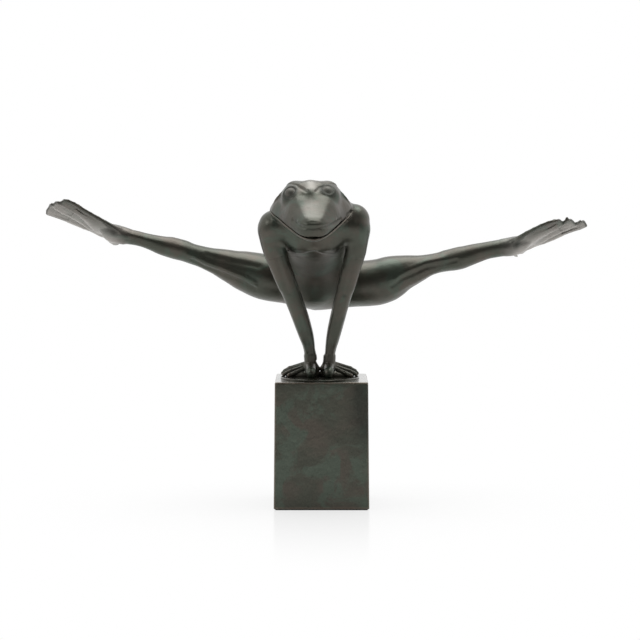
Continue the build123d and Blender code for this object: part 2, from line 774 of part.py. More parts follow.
with BuildPart() as ankle_pins:
    for side in leg_lifts:
        add(ankle_pin(side, small_pin_radius))
    add([leg_bodies[side] for side in leg_lifts], mode=Mode.INTERSECT)
ankle_pins.part.label = "ankle_pins"
export_step(ankle_pins.part, "parts/ankle_pins.step")
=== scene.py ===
"""A patinated bronze frog in a leapfrog handstand on its block, dressed for a studio picture.

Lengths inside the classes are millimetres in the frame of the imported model: the frog faces -Y,
its own left is +X and the felt rests on Z = 0. Meshes are scaled to metres when they are made.
"""

import logging
import math
from dataclasses import dataclass, field
from enum import Enum
from functools import cached_property
from typing import Callable, Dict, List, Sequence, Tuple, Union

import bpy
import numpy as np
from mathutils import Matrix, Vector


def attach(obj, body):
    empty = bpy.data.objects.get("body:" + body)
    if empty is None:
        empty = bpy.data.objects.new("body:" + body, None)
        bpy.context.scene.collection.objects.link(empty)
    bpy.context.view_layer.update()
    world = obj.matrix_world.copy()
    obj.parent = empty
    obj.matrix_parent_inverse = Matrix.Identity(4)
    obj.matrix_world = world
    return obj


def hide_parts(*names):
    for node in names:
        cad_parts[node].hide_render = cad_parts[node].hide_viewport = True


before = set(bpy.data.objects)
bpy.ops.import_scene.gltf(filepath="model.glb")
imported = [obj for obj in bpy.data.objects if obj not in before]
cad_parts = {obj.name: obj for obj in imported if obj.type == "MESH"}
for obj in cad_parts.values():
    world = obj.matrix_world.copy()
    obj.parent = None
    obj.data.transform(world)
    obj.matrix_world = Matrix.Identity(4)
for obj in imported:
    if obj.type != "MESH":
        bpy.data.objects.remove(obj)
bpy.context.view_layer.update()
REPORT = logging.getLogger("frog")
MM = 0.001
CURVE_SAMPLES = 240
HEAD_ORIGIN = (-9.4, -36.0, 283.0)
HEAD_PITCH_DEGREES = 25.0

Array = np.ndarray
Form = Callable[[Array], Array]


class Side(Enum):
    """The frog's own sides, with the sign of X."""

    LEFT = 1
    RIGHT = -1

    @property
    def word(self) -> str:
        """Name of the side in lower case."""
        return self.name.lower()


def vector(*numbers: float) -> Array:
    """Array of floats from separate numbers."""
    return np.array(numbers, float)


def unit(direction: Array) -> Array:
    """Direction scaled to a length of one."""
    return direction / np.linalg.norm(direction)


def blended(first: Array, second: Array, width: float) -> Array:
    """Union of two distance fields with a fillet.

    Args:
        first: Distances to the first form.
        second: Distances to the second form.
        width: Width of the fillet's band in millimetres.

    Returns:
        Distances to the blended form.
    """
    share = np.clip(0.5 + 0.5 * (second - first) / width, 0, 1)
    return second * (1 - share) + first * share - width * share * (1 - share)


def shared(first: Array, second: Array, width: float) -> Array:
    """Overlap of two distance fields with a rounded edge of a given width."""
    return -blended(-first, -second, width)


def capped(skin: Array, ends: Array) -> Array:
    """Overlap of two distance fields with a true distance outside their edge."""
    outside = np.hypot(np.maximum(skin, 0), np.maximum(ends, 0))
    return outside + np.minimum(np.maximum(skin, ends), 0)


def seen_from_front(form: Callable[[Array], Array], spots: Sequence[Tuple[float, float]]) -> List[Array]:
    """Points of a form's skin that face the viewer.

    Args:
        form: Distance to the form.
        spots: X and Z of each point in millimetres.

    Returns:
        The first point on the skin behind each spot, or the nearest one beside a rim.
    """
    depths = np.linspace(-100, 90, 761)
    found = []
    for x, z in spots:
        line = np.stack([np.full_like(depths, x), depths, np.full_like(depths, z)], 1)
        values = form(line)
        hit = np.argmax(values < 0) if (values < 0).any() else np.argmin(values)
        found.append(line[hit])
    return found


def step_between(values: Array, start: float, end: float) -> Array:
    """Smooth rise from 0 at start to 1 at end."""
    share = np.clip((values - start) / (end - start), 0, 1)
    return share * share * (3 - 2 * share)


def curve_table(stations: Sequence[float], values: Sequence[float]) -> Tuple[Array, Array]:
    """Smooth curve through given values, sampled closely.

    Args:
        stations: Rising positions.
        values: Value at each position.

    Returns:
        Positions and values of the samples.
    """
    x, y = np.asarray(stations, float), np.asarray(values, float)
    slopes = np.gradient(y, x)
    fine = np.linspace(x[0], x[-1], CURVE_SAMPLES)
    i = np.clip(np.searchsorted(x, fine, side="right") - 1, 0, len(x) - 2)
    h = x[i + 1] - x[i]
    t = (fine - x[i]) / h
    return fine, (
        (1 + 2 * t) * (1 - t) ** 2 * y[i] + t * (1 - t) ** 2 * h * slopes[i]
        + t * t * (3 - 2 * t) * y[i + 1] + t * t * (t - 1) * h * slopes[i + 1]
    )


@dataclass(frozen=True)
class Axes:
    """A local frame: across and up are square to along."""

    origin: Array
    across: Array
    up: Array
    along: Array

    def local(self, points: Array) -> Tuple[Array, Array, Array]:
        """Coordinates across, up and along of each point."""
        offset = points - self.origin
        return offset @ self.across, offset @ self.up, offset @ self.along

    def point(self, across: float, up: float, along: float) -> Array:
        """Point in the model's frame from local coordinates."""
        return self.origin + across * self.across + up * self.up + along * self.along


@dataclass(frozen=True)
class Cone:
    """A round rod with ball ends of two radii."""

    start: Array
    end: Array
    start_radius: float
    end_radius: float

    def distance(self, points: Array) -> Array:
        """Signed distance of each point to the rod's skin.

        Args:
            points: Places to measure at.

        Returns:
            Distance at each point, below zero inside.
        """
        axis = self.end - self.start
        length2 = axis @ axis
        drop = self.start_radius - self.end_radius
        side2 = length2 - drop * drop
        offset = points - self.start
        y = offset @ axis
        z = y - length2
        radial = offset * length2 - y[:, None] * axis
        x2 = np.einsum("ij,ij->i", radial, radial)
        y2, z2 = y * y * length2, z * z * length2
        k = np.sign(drop) * drop * drop * x2
        past_end = np.sign(z) * side2 * z2 > k
        before_start = np.sign(y) * side2 * y2 < k
        side = (np.sqrt(x2 * side2 / length2) + y * drop) / length2 - self.start_radius
        ends = np.where(
            past_end, np.sqrt(x2 + z2) / length2 - self.end_radius,
            np.sqrt(x2 + y2) / length2 - self.start_radius,
        )
        return np.where(past_end | before_start, ends, side)


@dataclass(frozen=True)
class Egg:
    """An ellipsoid in a local frame."""

    axes: Axes
    centre: Tuple[float, float, float]
    radii: Tuple[float, float, float]

    def distance(self, points: Array) -> Array:
        """Near distance of each point to the egg's skin.

        Args:
            points: Places to measure at.

        Returns:
            Distance at each point, below zero inside.
        """
        local = np.stack(self.axes.local(points), 1) - np.array(self.centre)
        radii = np.array(self.radii)
        near = np.linalg.norm(local / radii, axis=1)
        slope = np.maximum(np.linalg.norm(local / radii ** 2, axis=1), 1e-6)
        return near * (near - 1) / slope


@dataclass(frozen=True)
class Sleeve:
    """A tube of ellipses whose sizes and middle follow curves along an axis."""

    axes: Axes
    stations: Sequence[float]
    half_widths: Sequence[float]
    half_heights: Sequence[float]
    rises: Sequence[float] = ()
    sways: Sequence[float] = ()

    def distance(self, points: Array) -> Array:
        """Near distance of each point to the sleeve's skin.

        Args:
            points: Places to measure at.

        Returns:
            Distance at each point, below zero inside.
        """
        across, up, along = self.axes.local(points)
        fine, widths = curve_table(self.stations, self.half_widths)
        heights = curve_table(self.stations, self.half_heights)[1]
        a, b = np.interp(along, fine, widths), np.interp(along, fine, heights)
        if self.rises:
            up = up - np.interp(along, fine, curve_table(self.stations, self.rises)[1])
        if self.sways:
            across = across - np.interp(along, fine, curve_table(self.stations, self.sways)[1])
        near = np.sqrt((across / a) ** 2 + (up / b) ** 2)
        slope = np.maximum(np.sqrt((across / a ** 2) ** 2 + (up / b ** 2) ** 2), 1e-6)
        skin = np.where(near < 1e-3, -np.minimum(a, b), near * (near - 1) / slope)
        return capped(skin, np.maximum(self.stations[0] - along, along - self.stations[-1]))


@dataclass(frozen=True)
class Stroke:
    """A soft ridge (height above 0) or crease (below 0) along a path of points."""

    path: Sequence[Array]
    width: float
    height: float

    def relief(self, points: Array) -> Array:
        """How far the skin is lifted at each point.

        Args:
            points: Places to measure at.

        Returns:
            Lift at each point in millimetres.
        """
        nearest = np.full(len(points), 1e9)
        for start, end in zip(self.path, self.path[1:]):
            run = end - start
            share = np.clip((points - start) @ run / (run @ run), 0, 1)
            gap = points - start - share[:, None] * run
            nearest = np.minimum(nearest, np.einsum("ij,ij->i", gap, gap))
        return self.height * np.exp(-nearest / self.width ** 2)


def strokes_on(axes: Axes, rows: Sequence[Sequence]) -> List[Stroke]:
    """Strokes from rows of a width, a height and local places."""
    return [Stroke([axes.point(*place) for place in places], width, height) for width, height, *places in rows]


class NetSkin:
    """Turns a distance field into a closed mesh of even quads that lie on the form."""

    BATCH = 200000
    ROUNDS = 4
    LATTICE_BLOCK = 4
    RIM_BAND = 0.45
    DRIFT = 0.6
    LONGEST_MOVE = 0.7
    BULGE_ROUNDS = 3

    def __init__(self, body: Form, outside: Form, low: Array, high: Array, cell: float) -> None:
        """Keeps the form and its region.

        Args:
            body: Distance to the whole figure.
            outside: Above zero where the figure belongs to another piece.
            low: Lowest corner of the region.
            high: Highest corner of the region.
            cell: Size of a cell in millimetres.
        """
        self.body, self.outside = body, outside
        self.low, self.high, self.cell = low, high, cell

    def piece(self, points: Array) -> Array:
        """Distance to the part of the figure that belongs to this piece."""
        return np.maximum(self.body(points), self.outside(points))

    def lattice(self) -> Array:
        """Field on a regular lattice, worked out only near the skin.

        Returns:
            Value at each place of the lattice.
        """
        block = self.LATTICE_BLOCK
        blocks = np.ceil((self.high - self.low) / (self.cell * block)).astype(int) + 1
        grid = np.stack(np.meshgrid(*[np.arange(n) for n in blocks], indexing="ij"), -1).reshape(-1, 3)
        middles = self.low + (grid * block + (block - 1) / 2) * self.cell
        rough = self.piece(middles)
        reach = 1.6 * self.cell * block * math.sqrt(3) / 2 + 2.5
        fill = np.where(rough < 0, -reach, reach).reshape(tuple(blocks))
        for axis in range(3):
            fill = np.repeat(fill, block, axis)
        near = grid[np.abs(rough) < reach]
        inner = np.stack(np.meshgrid(*[np.arange(block)] * 3, indexing="ij"), -1).reshape(-1, 3)
        places = (near[:, None, :] * block + inner[None]).reshape(-1, 3)
        values = np.concatenate([
            self.piece(self.low + part * self.cell)
            for part in np.array_split(places, max(1, len(places) // self.BATCH))
        ])
        fill[tuple(places.T)] = values
        return fill

    def net(self) -> Tuple[Array, Array]:
        """One vertex in each cell that the skin crosses, and one quad for each crossed edge.

        Returns:
            Vertices and quads.
        """
        values = self.lattice()
        inside = values < 0
        cells = tuple(n - 1 for n in values.shape)
        corners = [(x, y, z) for x in (0, 1) for y in (0, 1) for z in (0, 1)]
        total = np.zeros(cells, np.int8)
        for x, y, z in corners:
            total += inside[x:x + cells[0], y:y + cells[1], z:z + cells[2]]
        crossed = (total > 0) & (total < 8)
        number = np.full(cells, -1, np.int64)
        number[crossed] = np.arange(crossed.sum())
        base = np.argwhere(crossed)
        places, hits = np.zeros((len(base), 3)), np.zeros(len(base))
        for a in corners:
            for axis in range(3):
                if a[axis] == 0:
                    b = tuple(c + (i == axis) for i, c in enumerate(a))
                    first, second = (values[tuple((base + np.array(c)).T)] for c in (a, b))
                    cut = (first < 0) != (second < 0)
                    share = np.where(cut, first / np.where(cut, first - second, 1), 0)
                    spot = np.array(a, float)[None].repeat(len(base), 0)
                    spot[:, axis] += share
                    places += spot * cut[:, None]
                    hits += cut
        vertices = self.low + (base + places / hits[:, None]) * self.cell
        quads = []
        for axis in range(3):
            b, c = (axis + 1) % 3, (axis + 2) % 3
            lower = [slice(None)] * 3
            upper = [slice(None)] * 3
            lower[axis], upper[axis] = slice(0, -1), slice(1, None)
            start = inside[tuple(lower)]
            edge = np.argwhere(start != inside[tuple(upper)])
            edge = edge[(edge[:, b] > 0) & (edge[:, c] > 0)]
            edge = edge[(edge[:, b] < cells[b]) & (edge[:, c] < cells[c])]
            ring = []
            for step_b, step_c in ((-1, -1), (0, -1), (0, 0), (-1, 0)):
                cell = edge.copy()
                cell[:, b] += step_b
                cell[:, c] += step_c
                ring.append(number[tuple(cell.T)])
            quad = np.stack(ring, 1)
            flip = ~start[tuple(edge.T)]
            quad[flip] = quad[flip][:, ::-1]
            quads.append(quad)
        return vertices, np.concatenate(quads)

    @staticmethod
    def slope(form: Form, points: Array, reach: float = 0.04) -> Tuple[Array, Array]:
        """Value of a form and its gradient, by four samples around each point.

        Args:
            form: Distance field.
            points: Places to measure at.
            reach: How far the samples lie from each point.

        Returns:
            Value and gradient at each point.
        """
        corners = np.array([(1, -1, -1), (-1, -1, 1), (-1, 1, -1), (1, 1, 1)], float)
        samples = [form(points + reach * corner) for corner in corners]
        gradient = sum(corner * value[:, None] for corner, value in zip(corners, samples)) / (4 * reach)
        return sum(samples) / 4, gradient

    def pulled(self, points: Array, form: Form) -> Tuple[Array, Array]:
        """Points moved on to the zero of a form, and the form's unit normals.

        Args:
            points: Places to measure at.
            form: Distance field.

        Returns:
            The moved points and the normals.
        """
        value, gradient = self.slope(form, points)
        size2 = np.maximum(np.einsum("ij,ij->i", gradient, gradient), 0.04)
        move = -(value / size2)[:, None] * gradient
        length = np.maximum(np.linalg.norm(move, axis=1, keepdims=True), 1e-9)
        move *= np.minimum(1, self.LONGEST_MOVE * self.cell / length)
        return points + move, gradient / np.sqrt(size2)[:, None]

    def skin(self) -> Tuple[Array, Array, Array]:
        """Vertices on the form, quads, and how sharply the skin bulges at each vertex.

        Returns:
            Vertices, quads and bulge.
        """
        vertices, quads = self.net()
        gap = self.body(vertices) - self.outside(vertices)
        own, cut = gap > -self.RIM_BAND * self.cell, gap < self.RIM_BAND * self.cell
        links = np.concatenate([quads[:, [0, 1]], quads[:, [1, 2]], quads[:, [2, 3]], quads[:, [3, 0]]])
        count = np.bincount(links[:, 0], minlength=len(vertices))
        count = count + np.bincount(links[:, 1], minlength=len(vertices))

        def around(values: Array) -> Array:
            """Mean of each vertex's neighbours.

            Args:
                values: One value or row for each vertex.

            Returns:
                The mean for each vertex.
            """
            total = np.zeros_like(values)
            np.add.at(total, links[:, 0], values[links[:, 1]])
            np.add.at(total, links[:, 1], values[links[:, 0]])
            return total / np.maximum(count, 1).reshape((-1,) + (1,) * (values.ndim - 1))

        normals = np.zeros_like(vertices)
        for turn in range(self.ROUNDS):
            if turn:
                drift = around(vertices) - vertices
                drift -= np.einsum("ij,ij->i", drift, normals)[:, None] * normals
                drift[own & cut] = 0
                vertices = vertices + self.DRIFT * drift
            if cut.any():
                vertices[cut], normals[cut] = self.pulled(vertices[cut], self.outside)
            vertices[own], normals[own] = self.pulled(vertices[own], self.body)
        bulge = -np.einsum("ij,ij->i", around(vertices) - vertices, normals) * 2 / self.cell ** 2
        bulge[cut] = 0
        for _ in range(self.BULGE_ROUNDS):
            bulge = (1 - self.DRIFT) * bulge + self.DRIFT * around(bulge)
        return vertices, quads, bulge


def make_object(name: str, vertices: Array, faces: Array, sharp_degrees: float = 50.0) -> bpy.types.Object:
    """Smooth-shaded Blender object from millimetre coordinates.

    Args:
        name: Name of the piece.
        vertices: Points in millimetres.
        faces: Vertex numbers of each face.
        sharp_degrees: Edges that turn by more than this stay sharp.

    Returns:
        The new object, in the scene.
    """
    mesh = bpy.data.meshes.new(name)
    mesh.from_pydata((vertices * MM).tolist(), [], faces.tolist() if hasattr(faces, "tolist") else faces)
    mesh.polygons.foreach_set("use_smooth", np.ones(len(mesh.polygons), bool))
    mesh.set_sharp_from_angle(angle=math.radians(sharp_degrees))
    piece = bpy.data.objects.new(name, mesh)
    bpy.context.scene.collection.objects.link(piece)
    return piece


def add_layer(piece: bpy.types.Object, name: str, values: Array) -> None:
    """Stores one number a vertex for the materials."""
    layer = piece.data.attributes.new(name, "FLOAT", "POINT")
    layer.data.foreach_set("value", np.clip(values, 0, 1).astype(np.float32))


Colour = Tuple[float, float, float]
Socket = bpy.types.NodeSocket
Inputs = Dict[Union[str, int], object]


class NodeSheet:
    """Short way to write the nodes of a procedural material or of the world."""

    def __init__(self, owner: bpy.types.ID) -> None:
        """Opens the nodes of a material or a world.

        Args:
            owner: The material or the world.
        """
        owner.use_nodes = True
        self.owner, self.nodes, self.links = owner, owner.node_tree.nodes, owner.node_tree.links
        self.coordinates = self.nodes.new("ShaderNodeTexCoord").outputs

    def fill(self, node: bpy.types.Node, inputs: Inputs) -> None:
        """Sets inputs of a node.

        Args:
            node: The node.
            inputs: A number, a colour or a socket to link for each input's name or number.
        """
        for key, value in inputs.items():
            if isinstance(value, Socket):
                self.links.new(value, node.inputs[key])
            else:
                node.inputs[key].default_value = (*value, 1) if isinstance(value, tuple) else value

    def node(self, kind: str, inputs: Inputs, output: Union[str, int] = 0, **settings: object) -> Socket:
        """Adds a node.

        Args:
            kind: Type of the node.
            inputs: What goes into it.
            output: Name or number of the output that is wanted.
            settings: The node's own choices.

        Returns:
            The output.
        """
        node = self.nodes.new("ShaderNode" + kind)
        for name, value in settings.items():
            setattr(node, name, value)
        self.fill(node, inputs)
        return node.outputs[output]

    def noise(self, scale: float, detail: float = 4, rough: float = 0.55, warp: float = 0) -> Socket:
        """Cloudy pattern whose spots are about 1/scale metres wide.

        Args:
            scale: Number of spots to a metre.
            detail: Number of finer layers.
            rough: Share of each finer layer.
            warp: How far the pattern is bent.

        Returns:
            The pattern, from 0 to 1.
        """
        place = self.coordinates["Object"]
        knobs = {"Scale": scale, "Detail": detail, "Roughness": rough, "Distortion": warp, "Vector": place}
        return self.node("TexNoise", knobs, "Fac")

    def layer(self, name: str) -> Socket:
        """Number stored on the mesh under a name."""
        return self.node("Attribute", {}, "Fac", attribute_name=name)

    def ramp(self, source: Socket, start: float, end: float, low: float = 0, high: float = 1) -> Socket:
        """Smooth rise from low to high between two values of the source."""
        ends = {"Value": source, "From Min": start, "From Max": end, "To Min": low, "To Max": high}
        return self.node("MapRange", ends, interpolation_type="SMOOTHSTEP")

    def spread(self, source: Socket, low: float, high: float) -> Socket:
        """Share from 0 to 1 turned into a range of values."""
        return self.node("MapRange", {"Value": source, "To Min": low, "To Max": high})

    def product(self, first: Socket, second: Union[Socket, float]) -> Socket:
        """Product of a socket and a socket or number, from 0 to 1."""
        return self.node("Math", {0: first, 1: second}, operation="MULTIPLY", use_clamp=True)

    def mixed(self, share: Socket, first: object, second: object) -> Socket:
        """Colour between two colours or colour sockets."""
        return self.node("Mix", {"Factor": share, 6: first, 7: second}, 2, data_type="RGBA")

    def bumps(self, heights: Sequence[Tuple[Socket, float]]) -> Socket:
        """Normal with bumps, one over the other.

        Args:
            heights: Pattern and height in millimetres of each bump.

        Returns:
            The normal.
        """
        below = {}
        for source, height in heights:
            below["Normal"] = self.node("Bump", {"Strength": 1, "Distance": height * MM, "Height": source, **below})
        return below["Normal"]

    def shade(self, inputs: Inputs) -> bpy.types.Material:
        """Sets inputs of the material's shader and hands the material back."""
        self.fill(self.nodes["Principled BSDF"], inputs)
        return self.owner


def new_sheet(name: str) -> NodeSheet:
    """Sheet of a new material."""
    return NodeSheet(bpy.data.materials.new(name))


@dataclass(frozen=True)
class Bronze:
    """Dark waxed patina over cast bronze."""

    name: str
    deep: Colour = (0.064, 0.068, 0.051)
    brown: Colour = (0.088, 0.076, 0.060)
    green: Colour = (0.068, 0.085, 0.064)
    rubbed: Colour = (0.190, 0.145, 0.112)
    # Colour of painted light: painted highlights on the crown, muzzle and eyeballs, and painted light on the soles.
    pale: Colour = (0.56, 0.53, 0.50)
    # Dark colour for the hollows, the block's darker streaks, and painted shade around the eyes, on the cheeks and on
    # the feet.
    darkening_and_painted_shade: Colour = (0.032, 0.036, 0.028)
    green_from: float = 0.50
    metal: float = 0.75
    gloss: float = 0.35
    wax: float = 0.35
    wax_roughness: float = 0.27
    grain: float = 0.05
    polished_share: float = 0.25
    dulled_share: float = 1.7

    def material(self) -> bpy.types.Material:
        """Cloudy green and brown over a dark ground, rubbed on the edges, with painted light and painted shade from the
        mesh layers.

        Returns:
            The material.
        """
        sheet = new_sheet(self.name)
        clouds = sheet.ramp(sheet.noise(26, 5, 0.6, 0.4), 0.40, 0.66)
        patches = sheet.ramp(sheet.noise(38, 6, 0.62, 0.8), self.green_from, self.green_from + 0.14)
        specks = sheet.ramp(sheet.noise(420, 3, 0.6), 0.60, 0.72)
        worn = sheet.ramp(sheet.layer("worn"), 0.15, 0.75)
        hollow = sheet.ramp(sheet.layer("hollow"), 0.1, 0.8)
        colour = sheet.mixed(clouds, self.deep, self.brown)
        colour = sheet.mixed(patches, colour, self.green)
        colour = sheet.mixed(sheet.product(specks, 0.5), colour, self.deep)
        colour = sheet.mixed(sheet.product(worn, sheet.spread(sheet.noise(90, 4), 0.2, 1.0)), colour, self.rubbed)
        # Painted light: the pale colour wherever the pale layer holds painted highlights or painted light.
        painted_light_share = sheet.product(sheet.layer("pale"), sheet.spread(sheet.noise(55, 4), 0.45, 1.0))
        colour = sheet.mixed(painted_light_share, colour, self.pale)
        # Darker in hollows, plus painted shade from the shade layers and the block's darker streaks.
        colour = sheet.mixed(sheet.product(hollow, 0.7), colour, self.darkening_and_painted_shade)
        matt = sheet.spread(sheet.layer("polish"), 1.0, self.polished_share)
        dull = sheet.spread(sheet.layer("dull"), 1.0, self.dulled_share)
        rough = sheet.product(sheet.spread(sheet.noise(70, 5, 0.6), self.gloss - 0.05, self.gloss + 0.13), dull)
        waxed = sheet.product(dull, self.wax_roughness)
        bumps = ((60, 3, 0.5), (240, 4, 2 * self.grain), (1300, 2, self.grain))
        return sheet.shade({
            "Base Color": colour, "Roughness": sheet.product(rough, matt), "Metallic": self.metal,
            "Coat Weight": self.wax, "Coat Roughness": sheet.product(waxed, matt),
            "Normal": sheet.bumps([(sheet.noise(scale, detail), height) for scale, detail, height in bumps]),
        })


@dataclass(frozen=True)
class BareMetal:
    """Dulled plate, screws, studs and nuts that the closed block hides."""

    name: str
    bright: Colour
    dull: Colour
    gloss: float
    metal: float = 0.95

    def material(self) -> bpy.types.Material:
        """Brushed metal with dull stains.

        Returns:
            The material.
        """
        sheet = new_sheet(self.name)
        stains = sheet.ramp(sheet.noise(120, 5, 0.6), 0.42, 0.62)
        edges = sheet.ramp(sheet.noise(900, 2), 0.55, 0.7)
        colour = sheet.mixed(stains, self.bright, self.dull)
        return sheet.shade({
            "Base Color": sheet.mixed(sheet.product(edges, 0.3), colour, self.dull), "Metallic": self.metal,
            "Roughness": sheet.spread(stains, self.gloss, self.gloss + 0.25),
            "Normal": sheet.bumps([(sheet.noise(1500, 2), 0.03)]),
        })


@dataclass(frozen=True)
class Felt:
    """Thin dark green felt under the block."""

    name: str = "dark_green_felt"
    dark: Colour = (0.030, 0.045, 0.032)
    light: Colour = (0.060, 0.085, 0.062)

    def material(self) -> bpy.types.Material:
        """Matted fibres with a soft sheen.

        Returns:
            The material.
        """
        sheet = new_sheet(self.name)
        fibres = sheet.noise(2600, 6, 0.75, 1.5)
        return sheet.shade({
            "Base Color": sheet.mixed(sheet.ramp(fibres, 0.35, 0.7), self.dark, self.light), "Sheen Weight": 0.3,
            "Roughness": sheet.spread(fibres, 0.85, 1.0), "Normal": sheet.bumps([(fibres, 0.15)]),
        })


def dress(piece: bpy.types.Object, material: bpy.types.Material, slot: str, replaced: Sequence[str] = ()) -> None:
    """Gives a piece its finish and, where it stands for nodes, its body; logs its slot.

    Args:
        piece: The piece.
        material: Its finish.
        slot: Slot of the record that the finish stands for.
        replaced: Nodes that the piece stands for.
    """
    piece.data.materials.clear()
    piece.data.materials.append(material)
    if replaced:
        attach(piece, "root")
        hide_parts(*replaced)
    REPORT.info("%s: %d faces, slot %s", piece.name, len(piece.data.polygons), slot)


class Ridged:
    """A form with ridges and creases on its plain shape."""

    def distance(self, points: Array) -> Array:
        """Near distance to the form."""
        return self.plain(points) - sum(stroke.relief(points) for stroke in self.strokes)


@dataclass(frozen=True)
class Trunk(Ridged):
    """Neck, shoulders, breast, belly, back and hips."""

    origin: Tuple[float, float, float] = (-7.0, -14.0, 270.0)
    pitch_degrees: float = 30.3
    stations: Tuple[float, ...] = (0, 14.7, 39.2, 64.9, 90.7, 109.0, 119.4, 124.2)
    half_widths: Tuple[float, ...] = (31.0, 33.5, 32.0, 29.0, 30.0, 24.0, 15.0, 6.0)
    half_depths: Tuple[float, ...] = (27.0, 29.0, 29.5, 28.6, 29.0, 22.5, 14.0, 6.0)
    lifts: Tuple[float, ...] = (0, 0, -0.9, -2.1, -2.1, 0.0, 1.5, 2.0)
    shoulder_half_spacing: float = 37.5
    shoulder_y: float = -22.0
    shoulder_z: float = 269.0
    shoulder_radius: float = 15.4
    shoulder_rise: float = 2.9
    shoulder_top_y: float = 2.0
    shoulder_fillet: float = 4.0
    inner_radius: float = 15.3
    inner_drop: float = -0.1
    fillet: float = 7.0
    pelvis_y: float = 51.0
    pelvis_z: float = 209.0
    pelvis_centre: Tuple[float, float, float] = (-1, 0, 0)
    pelvis_radii: Tuple[float, float, float] = (30, 23.5, 30.8)
    pelvis_fillet: float = 12.0
    yoke_rings: Tuple[Tuple[float, ...], ...] = (
        (-4, 18.75, 32, 38), (17, 17, 15.5, 14.0), (21, 20.5, 17.5, 15.0), (3, 3, 1.5, 0),
    )
    lobe_centre: Tuple[float, float, float] = (2.5, -11.5, 12.0)
    lobe_radii: Tuple[float, float, float] = (15.0, 13.5, 14.0)
    lobe_fillet: float = 6.0
    cowl_rings: Tuple[Tuple[float, ...], ...] = ((-44, -20, -5), (28, 33, 35), (14, 19, 19.5), (-22, -7, 6))
    cowl_fillet: float = 8.0
    dull_rise: Tuple[float, float] = (193.0, 203.0)
    dull_fall: Tuple[float, float] = (228.0, 240.0)
    breast_rim: Tuple[Tuple[float, float], ...] = (
        (-30.5, 247.2), (-23.2, 243.8), (-17.5, 243.9), (-11.8, 246.0), (-6.1, 246.8), (-1.4, 244.6), (4.3, 243.2),
        (10.9, 243.9), (16.5, 247.5),
    )

    @property
    def axes(self) -> Axes:
        """Frame of the trunk: along it from the neck to the rump, up out of its back.

        Returns:
            The frame.
        """
        pitch = math.radians(self.pitch_degrees)
        return Axes(
            vector(*self.origin), vector(1, 0, 0), vector(0, math.sin(pitch), math.cos(pitch)),
            vector(0, math.cos(pitch), -math.sin(pitch)),
        )

    def shoulder(self, side: Side) -> Array:
        """Centre of the round of one shoulder."""
        return vector(self.origin[0] + side.value * self.shoulder_half_spacing, self.shoulder_y, self.shoulder_z)

    def plain(self, points: Array) -> Array:
        """Near distance to the trunk without its ridges.

        Args:
            points: Places to measure at.

        Returns:
            Distance at each point, below zero inside.
        """
        form = Sleeve(self.axes, self.stations, self.half_widths, self.half_depths, self.lifts).distance(points)
        hips = vector(self.origin[0], self.pelvis_y, self.pelvis_z)
        pelvis = Egg(
            Axes(hips, vector(1, 0, 0), vector(0, 0, 1), vector(0, 1, 0)), self.pelvis_centre, self.pelvis_radii
        )
        form = blended(form, pelvis.distance(points), self.pelvis_fillet)
        middle = vector(self.origin[0], self.shoulder_y, self.shoulder_z)
        for side in Side:
            yoke = Axes(middle, vector(0, 1, 0), vector(0, 0, 1), vector(side.value, 0, 0))
            form = blended(form, Sleeve(yoke, *self.yoke_rings).distance(points), self.fillet)
            top = self.shoulder(side) + vector(0, self.shoulder_top_y, self.shoulder_rise * (1 + side.value))
            inner = self.shoulder(side) + vector(0, 0, self.inner_drop)
            ball = Cone(top, inner, self.shoulder_radius, self.inner_radius)
            form = blended(form, ball.distance(points), self.shoulder_fillet)
            lobe = Egg(yoke, self.lobe_centre, self.lobe_radii)
            form = blended(form, lobe.distance(points), self.lobe_fillet)
        nape = Axes(vector(*HEAD_ORIGIN), vector(1, 0, 0), *head_directions())
        return blended(form, Sleeve(nape, *self.cowl_rings).distance(points), self.cowl_fillet)

    @cached_property
    def strokes(self) -> List[Stroke]:
        """Ridges and creases of the back, the breast and the belly.

        Returns:
            The strokes.
        """
        rim = seen_from_front(self.plain, self.breast_rim)
        under = [spot + vector(0, 1.0, -3.2) for spot in rim[1:-1]]
        strokes = [Stroke(rim, 1.5, 0.9), Stroke(under, 2.4, -1.3)]
        strokes += strokes_on(self.axes, [(4.5, -1.2, (0, 33, 22), (0, 33, 60), (0, 33, 100))])
        for side in Side:
            way, shoulder = side.value, self.shoulder(side)
            fold = [(way * (20 - 0.08 * s), 24 - 0.02 * s, s) for s in (8, 40, 75, 104)]
            strokes += strokes_on(self.axes, [(4.0, 1.5, *fold), (7.0, 1.4, (way * 7, 29, 70), (way * 7, 29, 88))])
            pit = shoulder + vector(-way * 9.5, -13, -19)
            strokes.append(Stroke([shoulder + vector(-way * 4, 13, 12), shoulder + vector(-way * 17, 26, 8)], 5.0, 1.5))
            strokes.append(Stroke([pit, pit + vector(-way * 1.5, 2, -7)], 2.6, -1.8))
        return strokes

    def dull(self, points: Array) -> Array:
        """How matt the lower belly is, between two heights."""
        z = points[:, 2]
        return step_between(z, *self.dull_rise) * (1 - step_between(z, *self.dull_fall))


def head_directions() -> Tuple[Array, Array]:
    """Up and forward directions of the head, which is pitched down."""
    pitch = math.radians(HEAD_PITCH_DEGREES)
    return vector(0, -math.sin(pitch), math.cos(pitch)), vector(0, -math.cos(pitch), -math.sin(pitch))


